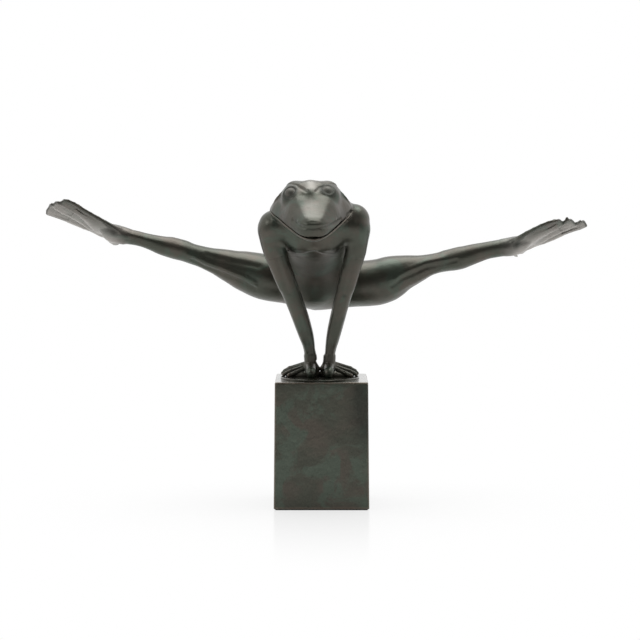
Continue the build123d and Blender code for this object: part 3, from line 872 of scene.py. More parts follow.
@dataclass(frozen=True)
class Head:
    """Skull, muzzle, wide mouth, lower jaw and bulging eyes."""

    origin: Tuple[float, float, float] = HEAD_ORIGIN
    skull_stations: Tuple[float, ...] = (-46, -38, -22, -8, -1.6, 6, 12, 19, 27, 35, 42, 47.5, 51.0, 53.4, 54.6)
    skull_widths: Tuple[float, ...] = (
        24, 30, 35.5, 38.6, 38.9, 36.2, 33.0, 29.4, 25.4, 21.0, 17.2, 13.8, 10.8, 7.4, 3.0
    )
    skull_heights: Tuple[float, ...] = (
        4.5, 10.0, 20.0, 28.8, 31.5, 31.6, 30.0, 26.6, 22.9, 20.0, 17.8, 16.0, 14.0, 10.6, 5.0
    )
    jaw_stations: Tuple[float, ...] = (-46, -38, -22, -8, -1.6, 6, 12, 19, 27, 35, 42, 48, 52, 55, 57.2)
    jaw_widths: Tuple[float, ...] = (
        24, 30, 35.5, 39.1, 39.4, 36.9, 33.7, 30.2, 26.2, 21.9, 17.9, 13.9, 10.7, 7.2, 2.0
    )
    jaw_depths: Tuple[float, ...] = (8, 10, 12, 13, 13.1, 12.8, 12.3, 11.5, 10.4, 9.2, 7.8, 6.4, 5.0, 3.6, 1.8)
    snout_drift: float = 0.033
    skull_section: Tuple[Tuple[float, float], ...] = (
        (1, 0), (0.975, 0.08), (0.925, 0.2), (0.87, 0.29), (0.81, 0.38), (0.72, 0.54), (0.63, 0.69), (0.5, 0.83),
        (0.33, 0.94), (0.16, 0.99), (0, 1),
    )
    muzzle_section: Tuple[Tuple[float, float], ...] = (
        (1, 0), (0.985, 0.16), (0.95, 0.33), (0.90, 0.48), (0.835, 0.62), (0.755, 0.745), (0.66, 0.85), (0.54, 0.93),
        (0.38, 0.98), (0.19, 0.997), (0, 1),
    )
    eye_half_spacing: float = 17.3
    eye_shift: float = -2.4
    eye_roll: float = 0.8
    eye_up: float = 24.2
    eye_along: float = 8.8
    eye_radius: float = 5.0
    joint_along: float = -5.6
    brow_lines: Tuple[Tuple[Tuple[float, float], ...], ...] = (
        ((-35.0, 307.6), (-30.5, 309.6), (-24.3, 308.8), (-18.9, 305.9), (-14.0, 302.9)),
        ((-5.0, 302.9), (-1.7, 306.2), (3.7, 309.4), (10.0, 309.8), (15.5, 307.0)),
    )
    lip_line: Tuple[Tuple[float, float], ...] = (
        (-26.5, 275.6), (-21.9, 271.6), (-16.5, 269.4), (-9.5, 268.6), (-2.0, 269.3), (6.8, 270.6), (13.2, 272.9),
        (18.5, 276.2),
    )

    @property
    def axes(self) -> Axes:
        """Frame of the head: along it to the snout, up out of the skull."""
        up, along = head_directions()
        return Axes(vector(*self.origin), vector(1, 0, 0), up, along)

    @staticmethod
    def reach(section: Tuple[Tuple[float, float], ...], angle: Array) -> Array:
        """Distance from the middle to a section's rim at each angle above the mouth.

        Args:
            section: Points of the section's rim.
            angle: Angles above the mouth.

        Returns:
            Distance at each angle.
        """
        s, u = np.array(section).T
        fine, rim = curve_table(np.arctan2(u, s), np.hypot(s, u))
        return np.interp(angle, fine, rim)

    def plain(self, points: Array) -> Array:
        """Near distance to the skull and the jaw, without the eyes and the lines.

        Args:
            points: Places to measure at.

        Returns:
            Distance at each point, below zero inside.
        """
        x, y, z = self.axes.local(points)
        x = x - self.snout_drift * np.maximum(z, 0)
        width = np.interp(z, *curve_table(self.skull_stations, self.skull_widths))
        height = np.interp(z, *curve_table(self.skull_stations, self.skull_heights))
        s, u = np.abs(x) / width, np.maximum(y, 0) / height
        angle = np.arctan2(u, np.maximum(s, 1e-9))
        front = step_between(z, 6, 28)
        rim = (1 - front) * self.reach(self.skull_section, angle) + front * self.reach(self.muzzle_section, angle)
        near = np.maximum(np.hypot(s, u) / rim, 1e-6)
        size = np.hypot(x, np.maximum(y, 0))
        skin = np.where(size < 1e-3, -np.minimum(width, height), size - size / near)
        skull = capped(0.8 * skin, np.maximum(self.skull_stations[0] - z, z - self.skull_stations[-1]))
        wide = np.interp(z, *curve_table(self.jaw_stations, self.jaw_widths))
        depth = np.interp(z, *curve_table(self.jaw_stations, self.jaw_depths))
        below = np.maximum(-y, 0)
        near = np.maximum(np.hypot(x / wide, below / depth), 1e-6)
        size = np.hypot(x, below)
        jaw = capped(0.8 * (size - size / near), np.maximum(self.jaw_stations[0] - z, z - self.jaw_stations[-1]))
        open_share = step_between(z, -7, -1)
        gap = open_share * (0.45 + 0.55 * step_between(x, -4, 26))
        upper = shared(skull, gap - 0.1 - y, 0.9)
        lower = shared(jaw, y + gap, 0.9)
        gum = np.maximum(skull + 2.3 * open_share, np.abs(y) - 2.2)
        return blended(np.minimum(upper, lower), gum, 0.5)

    def bare(self, points: Array) -> Array:
        """Near distance to the skull with the mounds that carry the eyes.

        Args:
            points: Places to measure at.

        Returns:
            Distance at each point, below zero inside.
        """
        axes, form = self.axes, self.plain(points)
        for side in Side:
            way = side.value
            mound = Cone(
                axes.point(way * 18.6 - 0.8, 18.3 + way * self.eye_roll, 6.2),
                axes.point(way * 16.2, 19.8, -6), 8.4, 8.2,
            )
            form = blended(form, mound.distance(points), 5.0)
        return form

    @cached_property
    def strokes(self) -> List[Stroke]:
        """Crown ridge, brow edges, lip ledge and the corner of the mouth.

        Returns:
            The strokes.
        """
        lip = seen_from_front(self.bare, self.lip_line)
        strokes = [Stroke(lip, 1.6, -1.3), Stroke([spot + vector(0, -0.4, 3.0) for spot in lip[1:-1]], 2.0, 0.6)]
        strokes += strokes_on(self.axes, (
            (4.0, 0.6, (-1.0, 31.0, -4), (-1.0, 31.0, 8), (-1.0, 28.6, 16)),
            (4.2, -0.7, (-11.0, 28.6, 10), (-9.0, 25.5, 17)), (4.2, -0.7, (8.0, 28.6, 10), (9.0, 25.5, 17)),
            (2.2, -1.8, (37.5, 0.2, 1.5), (33.5, 0.2, 10.0)),
        ))
        for line in self.brow_lines:
            brow = seen_from_front(self.bare, line)
            strokes.append(Stroke([spot + vector(0, 0, -0.8) for spot in brow], 1.6, -0.6))
            strokes.append(Stroke([spot + vector(0, -0.3, 1.8) for spot in brow[2:]], 1.8, 0.35))
        return strokes

    def eye(self, side: Side) -> Array:
        """Centre of an eyeball.

        Args:
            side: Side of the frog.

        Returns:
            The centre.
        """
        way = side.value
        return self.axes.point(
            way * self.eye_half_spacing + self.eye_shift, self.eye_up + way * self.eye_roll, self.eye_along
        )

    def eye_gap(self, points: Array) -> Array:
        """Distance to the nearer eyeball."""
        return np.min([np.linalg.norm(points - self.eye(side), axis=1) for side in Side], 0) - self.eye_radius

    def distance(self, points: Array) -> Array:
        """Near distance to the head.

        Args:
            points: Places to measure at.

        Returns:
            Distance at each point, below zero inside.
        """
        gap = self.eye_gap(points)
        form = self.bare(points) - sum(stroke.relief(points) for stroke in self.strokes)
        form = blended(form - 0.35 * np.exp(-((gap - 2.4) / 1.5) ** 2), gap, 0.6)
        return form + 0.2 * np.exp(-((gap - 0.6) / 0.8) ** 2)

    def pale(self, points: Array) -> Array:
        """Painted highlight on the middle of the crown, on the muzzle and on the eyeballs.

        Args:
            points: Places to measure at.

        Returns:
            Share at each point.
        """
        across, up, along = self.axes.local(points)
        crown = 0.38 * np.exp(-((across + 0.5) / 5.5) ** 2) * step_between(up, 22, 28) * step_between(along, -20, -6)
        crown = crown * (1 - step_between(along, 12, 17))
        muzzle = 0.17 * np.exp(-((across + 1.5) / 12) ** 2) * step_between(up, 12, 17) * step_between(along, 18, 30)
        light = np.maximum(crown, muzzle * (1 - step_between(along, 44, 52)))
        # Painted highlight on the eyeballs, against their dark reflection.
        return np.maximum(light, 0.16 * step_between(-self.eye_gap(points), -0.7, -0.1))

    def dull(self, points: Array) -> Array:
        """How matt the eyeballs and their lids are."""
        return 1 - step_between(self.eye_gap(points), 1.5, 4.0)

    def shade(self, points: Array) -> Array:
        """Darker patina and painted shade around the eyes, and painted shade on the cheeks.

        Args:
            points: Places to measure at.

        Returns:
            Share at each point.
        """
        across, up, along = self.axes.local(points)
        gap = self.eye_gap(points)
        socket = np.exp(-(np.maximum(gap - 1.5, 0) / 3.6) ** 2) * step_between(gap, -0.6, 0.8)
        # Painted shade on the cheeks, whose steep sides turn away from the light.
        cheek = step_between(np.abs(across), 12, 30) * np.exp(-((up - 6) / 9) ** 2) * step_between(along, 0, 14)
        return np.maximum(0.75 * socket, 0.45 * cheek)


@dataclass(frozen=True)
class Arm(Ridged):
    """Tapered arm from the shoulder to the wrist, with a slight bend at the elbow."""

    side: Side
    shoulder: Array
    girth: float = 1.0
    root_offset: float = 6.0
    joint_reach: float = 30.0
    wrist_z: float = 141.5
    wrist_half_spacing: float = 9.3
    wrist_middle: Tuple[float, float] = (-1.5, 2.0)
    stations: Tuple[float, ...] = (-8, -5.5, -1, 7, 14, 27, 40, 54, 70, 84, 95, 105, 115, 123, 129, 134, 139)
    half_widths: Tuple[float, ...] = (
        1.5, 5.2, 8.6, 11.0, 11.2, 10.3, 9.5, 9.0, 8.4, 7.9, 7.7, 7.3, 6.6, 5.7, 5.3, 5.6, 5.3
    )
    half_depths: Tuple[float, ...] = (
        1.5, 5.6, 9.4, 12.0, 12.0, 11.2, 10.6, 10.0, 9.2, 8.5, 8.0, 7.4, 6.7, 5.8, 5.4, 5.7, 5.3
    )
    bends: Tuple[float, ...] = (0, 0, 0, 0, 0.5, 1.1, 0.7, 0, -1.0, -1.6, -1.9, -2.0, -1.9, -1.6, -0.9, -0.3, 0)
    leans: Tuple[float, ...] = (0, 0, 0, 0, 0, 0, 0, 0.2, 0.5, 0.7, 0.8, 0.8, 0.8, 0.7, 0.5, 0.3, 0.1)

    @property
    def root(self) -> Array:
        """Start of the arm's axis, a little outside the shoulder's centre."""
        return self.shoulder + vector(self.side.value * self.root_offset, 0, 0)

    @property
    def wrist(self) -> Array:
        """Middle of the wrist."""
        x, y = self.wrist_middle
        return vector(x + self.side.value * self.wrist_half_spacing, y, self.wrist_z)

    @property
    def axes(self) -> Axes:
        """Frame of the arm: along it to the wrist, across it to +X, up out of its back.

        Returns:
            The frame.
        """
        along = unit(self.wrist - self.root)
        back = unit(np.cross(along, vector(1, 0, 0)))
        return Axes(self.root, np.cross(back, along), back * np.sign(back[1]), along)

    def plain(self, points: Array) -> Array:
        """Near distance to the arm without its ridges.

        Args:
            points: Places to measure at.

        Returns:
            Distance at each point, below zero inside.
        """
        way = self.side.value
        widths = [self.girth * half for half in self.half_widths]
        bends = [way * bend + lean for bend, lean in zip(self.bends, self.leans)]
        flat = [0.0] * len(bends)
        return Sleeve(self.axes, self.stations, widths, self.half_depths, flat, bends).distance(points)

    @cached_property
    def strokes(self) -> List[Stroke]:
        """Muscle lines of the upper arm, the elbow and the forearm.

        Returns:
            The strokes.
        """
        way = self.side.value
        return strokes_on(self.axes, (
            (4.2, 1.0, (way * 8.5, -4.5, 24), (way * 6.5, -5, 60)),
            (2.6, -0.8, (way * 0.5, -11, 30), (way * 0.5, -9.5, 66)),
            (2.6, 0.7, (-way * 6.5, -6.5, 44), (-way * 6.5, -5.5, 84)),
            (4.0, 1.1, (way * 1, 10, 62), (0, 9, 76)),
            (1.8, 0.6, (way * 4, -6, 92), (way * 1.5, -5, 128)),
            (1.6, -0.5, (-way * 3, -7, 92), (-way * 2.5, -5, 124)),
        ))

    def beyond(self, points: Array, trunk: Array, arm: Array) -> Array:
        """Below zero where the figure belongs to the arm or the hand, and not to the trunk."""
        along = (points - self.root) @ self.axes.along
        return np.maximum(self.joint_reach - along, (arm - trunk) / 2)


@dataclass(frozen=True)
class Hand:
    """Broad palm and five straight fingers that lie on the round plate."""

    side: Side
    wrist: Array
    plate_z: float = 123.5
    angles: Tuple[float, ...] = (16.0, -4.0, -26.0, -93.0, -172.0)
    reaches: Tuple[float, ...] = (29.6, 27.2, 24.6, 21.0, 10.4)
    knuckle_heights: Tuple[float, ...] = (6.9, 5.0, 3.5, 5.4, 7.2)
    tip_radii: Tuple[float, ...] = (2.0, 1.9, 1.8, 4.4, 2.4)
    root_heights: Tuple[float, ...] = (12.6, 10.6, 8.4, 9.0, 14.6)
    root_radii: Tuple[float, ...] = (2.4, 2.2, 2.2, 5.4, 2.4)
    palm_rings: Tuple[Tuple[float, ...], ...] = (
        (-2, 5, 10, 15, 20), (6.8, 6.8, 6.2, 5.6, 5.5), (7.6, 7.4, 6.4, 5.7, 5.6),
    )
    pad_centre: Tuple[float, float, float] = (6.8, 0.4, 0.8)
    pad_radii: Tuple[float, float, float] = (16.8, 9.5, 5.4)
    pad_fillet: float = 2.5
    joint_fillet: float = 0.8
    finger_fillet: float = 0.9
    cuff_radius: float = 5.6
    cuff_rise: float = 0.6
    cuff_depth: float = 0.25
    cuff_width: float = 1.2

    def distance(self, points: Array) -> Array:
        """Near distance to the hand.

        Args:
            points: Places to measure at.

        Returns:
            Distance at each point, below zero inside.
        """
        foot = vector(self.wrist[0], self.wrist[1], self.plate_z)
        way = self.side.value
        upright = Axes(foot, vector(1, 0, 0), vector(0, 1, 0), vector(0, 0, 1))
        x, y, z = self.pad_centre
        pad = Egg(upright, (way * x, y, z), self.pad_radii)
        form = blended(Sleeve(upright, *self.palm_rings).distance(points), pad.distance(points), self.pad_fillet)
        rows = zip(
            self.angles, self.reaches, self.knuckle_heights, self.tip_radii, self.root_heights, self.root_radii
        )
        for angle, reach, height, tip_radius, root_height, root_radius in rows:
            turn = math.radians(angle)
            out = vector(way * math.cos(turn), math.sin(turn), 0)
            middle_radius = 0.5 * (root_radius + tip_radius)
            root = foot + out * 2.6 + vector(0, 0, root_height)
            knuckle = foot + out * 0.7 * reach + vector(0, 0, height)
            joint = foot + out * (reach - tip_radius - 2.2) + vector(0, 0, 0.62 * height)
            tip = foot + out * (reach - tip_radius) + vector(0, 0, tip_radius)
            finger = Cone(root, knuckle, root_radius, middle_radius).distance(points)
            middle = Cone(knuckle, joint, middle_radius, tip_radius)
            finger = blended(finger, middle.distance(points), self.joint_fillet)
            finger = blended(finger, Cone(joint, tip, tip_radius, tip_radius).distance(points), self.joint_fillet)
            form = blended(form, finger, self.finger_fillet)
        gap = np.linalg.norm(points - self.wrist - vector(0, 0, self.cuff_rise), axis=1) - self.cuff_radius
        return form - self.cuff_depth * np.exp(-(np.abs(gap) / self.cuff_width) ** 2)


def limb_axes(side: Side, origin: Array, lift: float, sweep: float, tilt: float = 0.0) -> Axes:
    """Frame of a leg or a foot.

    Args:
        side: Side of the frog.
        origin: Start of the limb.
        lift: Degrees by which it rises outward.
        sweep: Degrees by which it is drawn forward.
        tilt: Degrees by which its back leans to the rear.

    Returns:
        Frame along the limb and across it to the rear.
    """
    way = side.value
    lift, sweep, tilt = (math.radians(angle) for angle in (lift, sweep, tilt))
    along = vector(way * math.cos(lift) * math.cos(sweep), -math.cos(lift) * math.sin(sweep), math.sin(lift))
    rear = vector(way * math.sin(sweep), math.cos(sweep), 0)
    back = np.cross(along, rear) * way * math.cos(tilt) + rear * math.sin(tilt)
    return Axes(origin, np.cross(back, along) * way, back, along)


@dataclass(frozen=True)
class Leg(Ridged):
    """Thigh and shin along one straight axis, with their own measured outline."""

    side: Side
    lift_degrees: float
    hip_z: float
    stations: Tuple[float, ...]
    half_heights: Tuple[float, ...]
    rises: Tuple[float, ...]
    ridges: Tuple[Tuple[float, float, Tuple[Tuple[float, float], ...]], ...]
    hip_x: float = -7.0
    hip_y: float = 60.0
    sweep_degrees: float = 9.5
    joint_reach: float = 36.0
    length: float = 204.0
    depth_shares: Tuple[float, ...] = (1.0, 1.0, 0.98, 0.97, 0.96, 0.98, 1.04, 1.1, 1.08, 1.02, 0.97, 0.90, 0.85)
    depth_stations: Tuple[float, ...] = (0, 36, 54, 70, 86, 103, 119, 136, 152, 169, 185, 202, 216)

    @property
    def axes(self) -> Axes:
        """Frame of the leg: along it to the ankle, across it to the rear, up."""
        hip = vector(self.hip_x, self.hip_y, self.hip_z)
        return limb_axes(self.side, hip, self.lift_degrees, self.sweep_degrees)

    @property
    def ankle(self) -> Array:
        """Point in which the foot starts."""
        return self.axes.point(0, 0, self.length)

    def plain(self, points: Array) -> Array:
        """Near distance to the leg without its ridges."""
        depths = np.interp(self.stations, self.depth_stations, self.depth_shares) * np.array(self.half_heights)
        return Sleeve(self.axes, self.stations, depths, self.half_heights, self.rises).distance(points)

    @cached_property
    def strokes(self) -> List[Stroke]:
        """Muscle lines that the viewer sees, and the knee and the calf behind.

        Returns:
            The strokes.
        """
        strokes = [Stroke(seen_from_front(self.plain, path), width, height) for width, height, path in self.ridges]
        return strokes + strokes_on(self.axes, (
            (5.0, 0.9, (0, 10, 138), (-2, 10, 150)),
            (2.2, 0.6, (-8.5, 4, 130), (-7, 3, 165), (-6, 2, 192)),
            (4.0, 1.0, (19, 3, 44), (14, 3, 92)),
            (3.0, -1.0, (18, -6, 46), (12.5, -5, 98)),
            (3.0, 0.8, (8, -3, 130), (7, -3, 168)),
        ))

    def beyond(self, points: Array, trunk: Array, leg: Array) -> Array:
        """Below zero where the figure belongs to the leg or the foot, and not to the trunk."""
        return np.maximum(self.joint_reach - self.axes.local(points)[2], (leg - trunk) / 2)

    def past_ankle(self, points: Array) -> Array:
        """Distance past the plane in which the foot starts."""
        return self.axes.local(points)[2] - self.length


Path2 = Tuple[Tuple[float, float], ...]


@dataclass(frozen=True)
class Foot:
    """Webbed foot with four toe bones that fan out from the ankle."""

    side: Side
    ankle: Array
    lift_degrees: float
    rim: Path2
    toes: Tuple[Path2, ...]
    heel: Tuple[float, float]
    sweep_degrees: float = 9.5
    tilt_degrees: float = 27.0
    web_half_thickness: float = 0.85
    flute_depth: float = 2.3
    toe_radius: float = 1.9
    tip_radius: float = 1.25
    toe_rise: float = 0.2
    toe_fillet: float = 1.2
    bone_fillet: float = 1.0
    instep_rings: Tuple[Tuple[float, ...], ...] = (
        (-9, 0, 8, 18, 30, 46), (6.6, 7.2, 8.2, 9.6, 10.0, 8.0), (7.0, 6.8, 5.4, 3.8, 2.0, 0.4),
        (0, 0, 0, 0.3, 0.5, 0.8), (0, 1, 3, 5, 6, 7),
    )
    instep_fillet: float = 4.0
    heel_start: Tuple[float, float, float] = (5, 0.4, 5)
    heel_rise: float = 0.6
    heel_radii: Tuple[float, float] = (6.2, 4.4)
    heel_fillet: float = 7.0

    @property
    def axes(self) -> Axes:
        """Frame of the foot: along it to the toes, across it from the front edge, up out of its back."""
        return limb_axes(self.side, self.ankle, self.lift_degrees, self.sweep_degrees, self.tilt_degrees)

    def web(self, across: Array, along: Array) -> Array:
        """Signed distance in the plane of the web to its outline.

        Args:
            across: Place of each point from the front edge.
            along: Place of each point from the ankle.

        Returns:
            Distance at each place, below zero inside.
        """
        corners = np.array(self.rim)
        nearest, sign = np.full(len(across), 1e9), np.ones(len(across))
        for (x0, y0), (x1, y1) in zip(corners, np.roll(corners, 1, 0)):
            dx, dy = x1 - x0, y1 - y0
            wx, wy = across - x0, along - y0
            share = np.clip((wx * dx + wy * dy) / (dx * dx + dy * dy), 0, 1)
            nearest = np.minimum(nearest, (wx - dx * share) ** 2 + (wy - dy * share) ** 2)
            above, below, turn = along >= y0, along < y1, dx * wy > dy * wx
            sign = np.where((above & below & turn) | (~above & ~below & ~turn), -sign, sign)
        return sign * np.sqrt(nearest)

    def flutes(self, across: Array, along: Array) -> Array:
        """Share of the hollow between two toes, 1 in its middle.

        Args:
            across: Place of each point from the front edge.
            along: Place of each point from the ankle.

        Returns:
            Share at each place.
        """
        lines = [np.interp(along, [y for _, y in toe], [x for x, _ in toe]) for toe in self.toes]
        bowl = np.zeros_like(along)
        for near, far in zip(lines, lines[1:]):
            share = np.clip((across - near) / np.maximum(far - near, 1.0), 0, 1)
            bowl = bowl + 4 * share * (1 - share)
        return bowl * step_between(along, 6, 28)

    def distance(self, points: Array) -> Array:
        """Near distance to the foot.

        Args:
            points: Places to measure at.

        Returns:
            Distance at each point, below zero inside.
        """
        axes = self.axes
        across, up, along = axes.local(points)
        flat = self.web(across, along)
        bowl = self.flute_depth * self.flutes(across, along)
        slab = np.abs(up - bowl) - self.web_half_thickness - 1.0 * (1 - step_between(along, 0, 30))
        form = capped(flat, slab)
        for toe in self.toes:
            bones = [axes.point(x, self.toe_rise, y) for x, y in toe]
            radii = np.linspace(self.toe_radius, self.tip_radius, len(toe))
            chain = Cone(bones[0], bones[1], radii[0], radii[1]).distance(points)
            for i in range(1, len(toe) - 1):
                bone = Cone(bones[i], bones[i + 1], radii[i], radii[i + 1])
                chain = blended(chain, bone.distance(points), self.bone_fillet)
            form = blended(form, chain, self.toe_fillet)
        form = blended(form, Sleeve(axes, *self.instep_rings).distance(points), self.instep_fillet)
        heel_end = axes.point(self.heel[0], self.heel_rise, self.heel[1])
        heel = Cone(axes.point(*self.heel_start), heel_end, *self.heel_radii)
        return blended(form, heel.distance(points), self.heel_fillet)

    def pale(self, points: Array) -> Array:
        """Painted light on the sole, rising from its front edge to its rear one and weaker in the flutes.

        Args:
            points: Places to measure at.

        Returns:
            Share at each point.
        """
        across, _, along = self.axes.local(points)
        ridges = 1 - 0.5 * np.clip(self.flutes(across, along), 0, 1)
        # Painted light, strongest towards the rear edge and on the toe ridges.
        return step_between(across, -15, 6) * step_between(along, -18, 6) * ridges

    def shade(self, points: Array) -> Array:
        """Painted shade along the scalloped end of the web, along the front toe and in the flutes.

        Args:
            points: Places to measure at.

        Returns:
            Share at each point.
        """
        across, _, along = self.axes.local(points)
        edge = 0.95 * np.exp(-((self.web(across, along) + 0.3) / 1.5) ** 2) * step_between(along, 44, 54)
        front = 0.65 * np.exp(-((across - np.interp(along, *self.front)) / 3.2) ** 2) * step_between(along, -8, 6)
        # Painted shade at the web's end, along the front toe and in the flutes.
        return np.maximum(edge, np.maximum(front, 0.25 * self.flutes(across, along)))

    @property
    def front(self) -> Tuple[List[float], List[float]]:
        """Stations and places of the front toe, which is the upper edge in the picture."""
        return [y for _, y in self.toes[0]], [x for x, _ in self.toes[0]]


@dataclass
class Figure:
    """The whole frog: its forms, how they blend and how they are parted into castings."""

    bronze: bpy.types.Material
    overlap: float = 0.5
    neck_fillet: float = 3.5
    arm_fillet: float = 5.0
    leg_fillet: float = 9.0
    wrist_fillet: float = 2.0
    ankle_fillet: float = 4.0
    worn_from: float = 0.10
    hollow_from: float = 0.04
    full_bulge: float = 0.5
    torso_box: Tuple[Tuple[float, float], ...] = ((-64, 50), (-48, 101), (180, 317))
    head_box: Tuple[Tuple[float, float], ...] = ((-51, 33), (-94, -10), (252, 317))
    arm_box: Tuple[Tuple[float, float], ...] = ((-44, 12), (139, 262))
    hand_box: Tuple[Tuple[float, float], ...] = ((-30, 26), (122, 143))
    leg_box: Tuple[Tuple[float, float], ...] = ((12, 90), (178, 282))
    foot_box: Tuple[Tuple[float, float], ...] = ((-4, 40), (240, 298))
    arm_reach: float = 58.0
    hand_reach: float = 42.0
    foot_start: float = 178.0
    foot_reach: float = 268.0
    cells: Dict[str, float] = field(default_factory=lambda: {
        "torso": 1.25, "head": 0.7, "arm": 0.8, "hand": 0.42, "leg": 0.95, "foot": 0.5,
    })

    def __post_init__(self) -> None:
        """Makes the forms of all the castings."""
        self.trunk, self.head = Trunk(), Head()
        girths = {Side.LEFT: 0.95, Side.RIGHT: 1.05}
        self.arms = {side: Arm(side, self.trunk.shoulder(side), girths[side]) for side in Side}
        self.hands = {side: Hand(side, self.arms[side].wrist) for side in Side}
        self.legs = {Side.LEFT: self.left_leg(), Side.RIGHT: self.right_leg()}
        self.feet = {
            Side.LEFT: Foot(
                Side.LEFT, self.legs[Side.LEFT].ankle, 20.0,
                rim=((-7.5, 0), (-10.8, 10.3), (-13.9, 17.0), (-16.5, 25.1), (-18.6, 32.9), (-19.2, 40.5),
                     (-18.6, 45.9), (-16.9, 49.7), (-12.5, 51.1), (-7.2, 52.8), (-8.0, 55.3), (-11.2, 57.2),
                     (-12.0, 59.0), (-8.0, 60.4), (-2.4, 62.0), (3.9, 63.5), (3.8, 66.8), (2.0, 69.0), (5.6, 71.4),
                     (11.3, 72.8), (15.3, 73.2), (17.0, 71.1), (17.4, 65.5), (16.3, 56.3), (16.7, 46.9), (18.2, 38.1),
                     (19.4, 27.5), (18.7, 18.3), (20.0, 10.5), (21.4, 4.0), (20.6, -0.5), (16.0, -4.0), (12.0, -6.0),
                     (6.0, -5.0)),
                toes=(((-6, 3), (-9.2, 10.3), (-12.4, 17.0), (-15.1, 25.1), (-17.2, 32.9), (-17.9, 40.5),
                       (-16.9, 47.0)),
                      ((15.5, 5.7), (5.0, 18.4), (2.2, 25.6), (0.4, 35.3), (-1.3, 45.0), (-4.4, 52.9), (-9.4, 56.6)),
                      ((18.0, 12), (15.9, 20.7), (12.7, 28.9), (9.6, 37.1), (8.4, 44.9), (8.5, 54.2), (7.1, 62.9),
                       (4.0, 67.2)),
                      ((19.5, 6), (17.2, 18.3), (18.0, 27.5), (16.9, 38.1), (15.4, 46.9), (15.0, 56.3), (15.9, 65.5),
                       (15.2, 71.4))),
                heel=(18.8, 0.2),
            ),
            Side.RIGHT: Foot(
                Side.RIGHT, self.legs[Side.RIGHT].ankle, 25.0,
                rim=((-8, 0), (-9.2, 10.0), (-10.2, 15.8), (-12.0, 24.0), (-13.4, 32.1), (-16.0, 43.3), (-18.5, 50.7),
                     (-19.3, 54.7), (-18.4, 58.3), (-15.7, 61.3), (-12.5, 61.8), (-8.1, 62.2), (-6.4, 63.5),
                     (-5.8, 65.9), (-1.3, 67.0), (3.2, 68.1), (3.6, 70.2), (7.3, 71.2), (13.4, 70.8), (17.3, 70.8),
                     (21.8, 71.2), (26.0, 69.7), (27.0, 68.2), (24.1, 59.3), (21.6, 43.4), (20.8, 30.9), (19.2, 21.7),
                     (20.2, 15.5), (21.4, 9.1), (21.6, 2.5), (20.0, -4.0), (14.0, -7.0), (6.0, -5.0)),
                toes=(((-6.6, 3), (-8.9, 15.8), (-10.7, 24.0), (-12.1, 32.1), (-14.7, 43.3), (-17.2, 50.7),
                       (-17.0, 57.0), (-15.2, 59.8)),
                      ((15.5, 10), (11.6, 19.7), (6.7, 26.8), (1.3, 35.0), (-2.1, 41.7), (-2.9, 51.5), (-4.4, 61.0),
                       (-5.2, 64.2)),
                      ((18.4, 12), (16.5, 20.3), (13.6, 27.9), (10.4, 36.5), (9.7, 45.4), (9.8, 56.1), (8.2, 63.5),
                       (4.8, 68.6)),
                      ((20.4, 4), (17.9, 21.7), (19.4, 30.9), (20.2, 43.4), (22.7, 59.3), (24.9, 67.4))),
                heel=(16.6, -0.6),
            ),
        }

    @staticmethod
    def left_leg() -> Leg:
        """The lower leg, on the right in the picture.

        Returns:
            The leg.
        """
        return Leg(
            Side.LEFT, 15.6, 195.2,
            (0, 18, 36, 54, 62, 70, 79, 87, 95, 103, 111, 120, 128, 136, 144, 152, 160, 169, 177, 185, 193, 201, 209,
             215, 220),
            (17, 19.4, 21.2, 23.0, 22.9, 22.4, 21.7, 19.8, 17.0, 14.8, 12.5, 10.5, 9.9, 10.1, 10.6, 10.7, 10.2, 9.3,
             8.5, 8.4, 8.5, 8.8, 7.6, 5.0, 1.2),
            (7.2, 4.4, 2.9, 0.9, -0.4, -0.9, -0.4, 0.4, 1.4, 1.6, 1.6, 2.1, 1.9, 1.3, 0.6, 0.4, 0.8, 1.0, 0.9, 0.3,
             -0.6, -2.0, -2.8, -2.8, -2.8),
            (
                (2.4, -1.3, ((69.4, 209.5), (77.3, 216.4), (87.2, 220.3), (101.9, 227.2), (116.7, 230.1), (131, 234))),
                (3.4, 1.0, ((72.0, 215.5), (84.0, 224.8), (102.0, 232.0), (118.0, 235.2))),
                (3.4, 0.8, ((74.0, 204.0), (92.0, 213.5), (112.0, 223.0))),
            ),
        )

    @staticmethod
    def right_leg() -> Leg:
        """The higher leg, on the left in the picture.

        Returns:
            The leg.
        """
        return Leg(
            Side.RIGHT, 17.6, 199.5,
            (0, 18, 36, 53, 61, 70, 78, 86, 95, 103, 111, 119, 128, 136, 144, 152, 161, 169, 177, 185, 193, 202, 210,
             216, 220),
            (17, 19.5, 21.6, 22.3, 21.8, 20.4, 18.9, 16.7, 14.8, 12.9, 11.4, 10.4, 10.0, 10.0, 10.1, 9.9, 9.0, 7.9,
             7.2, 7.2, 7.6, 8.5, 7.8, 5.2, 1.2),
            (7.2, 4.0, 2.4, 1.4, 1.4, 1.4, 1.4, 1.5, 1.9, 2.2, 2.1, 2.2, 2.1, 2.3, 1.9, 1.6, 1.1, 1.1, 1.0, 0.6, -0.4,
             -1.6, -2.6, -2.6, -2.6),
            (
                (2.6, 1.3, ((-129.4, 239.5), (-114.6, 232.4), (-99.8, 227.2), (-80.2, 219.6), (-65.4, 211.8))),
                (2.2, -1.3, ((-126.0, 235.2), (-114.6, 228.2), (-99.8, 222.6), (-80.2, 214.8), (-65.4, 206.6))),
                (3.0, -0.8, ((-112.0, 240.0), (-88.0, 233.0), (-62.0, 228.0))),
            ),
        )

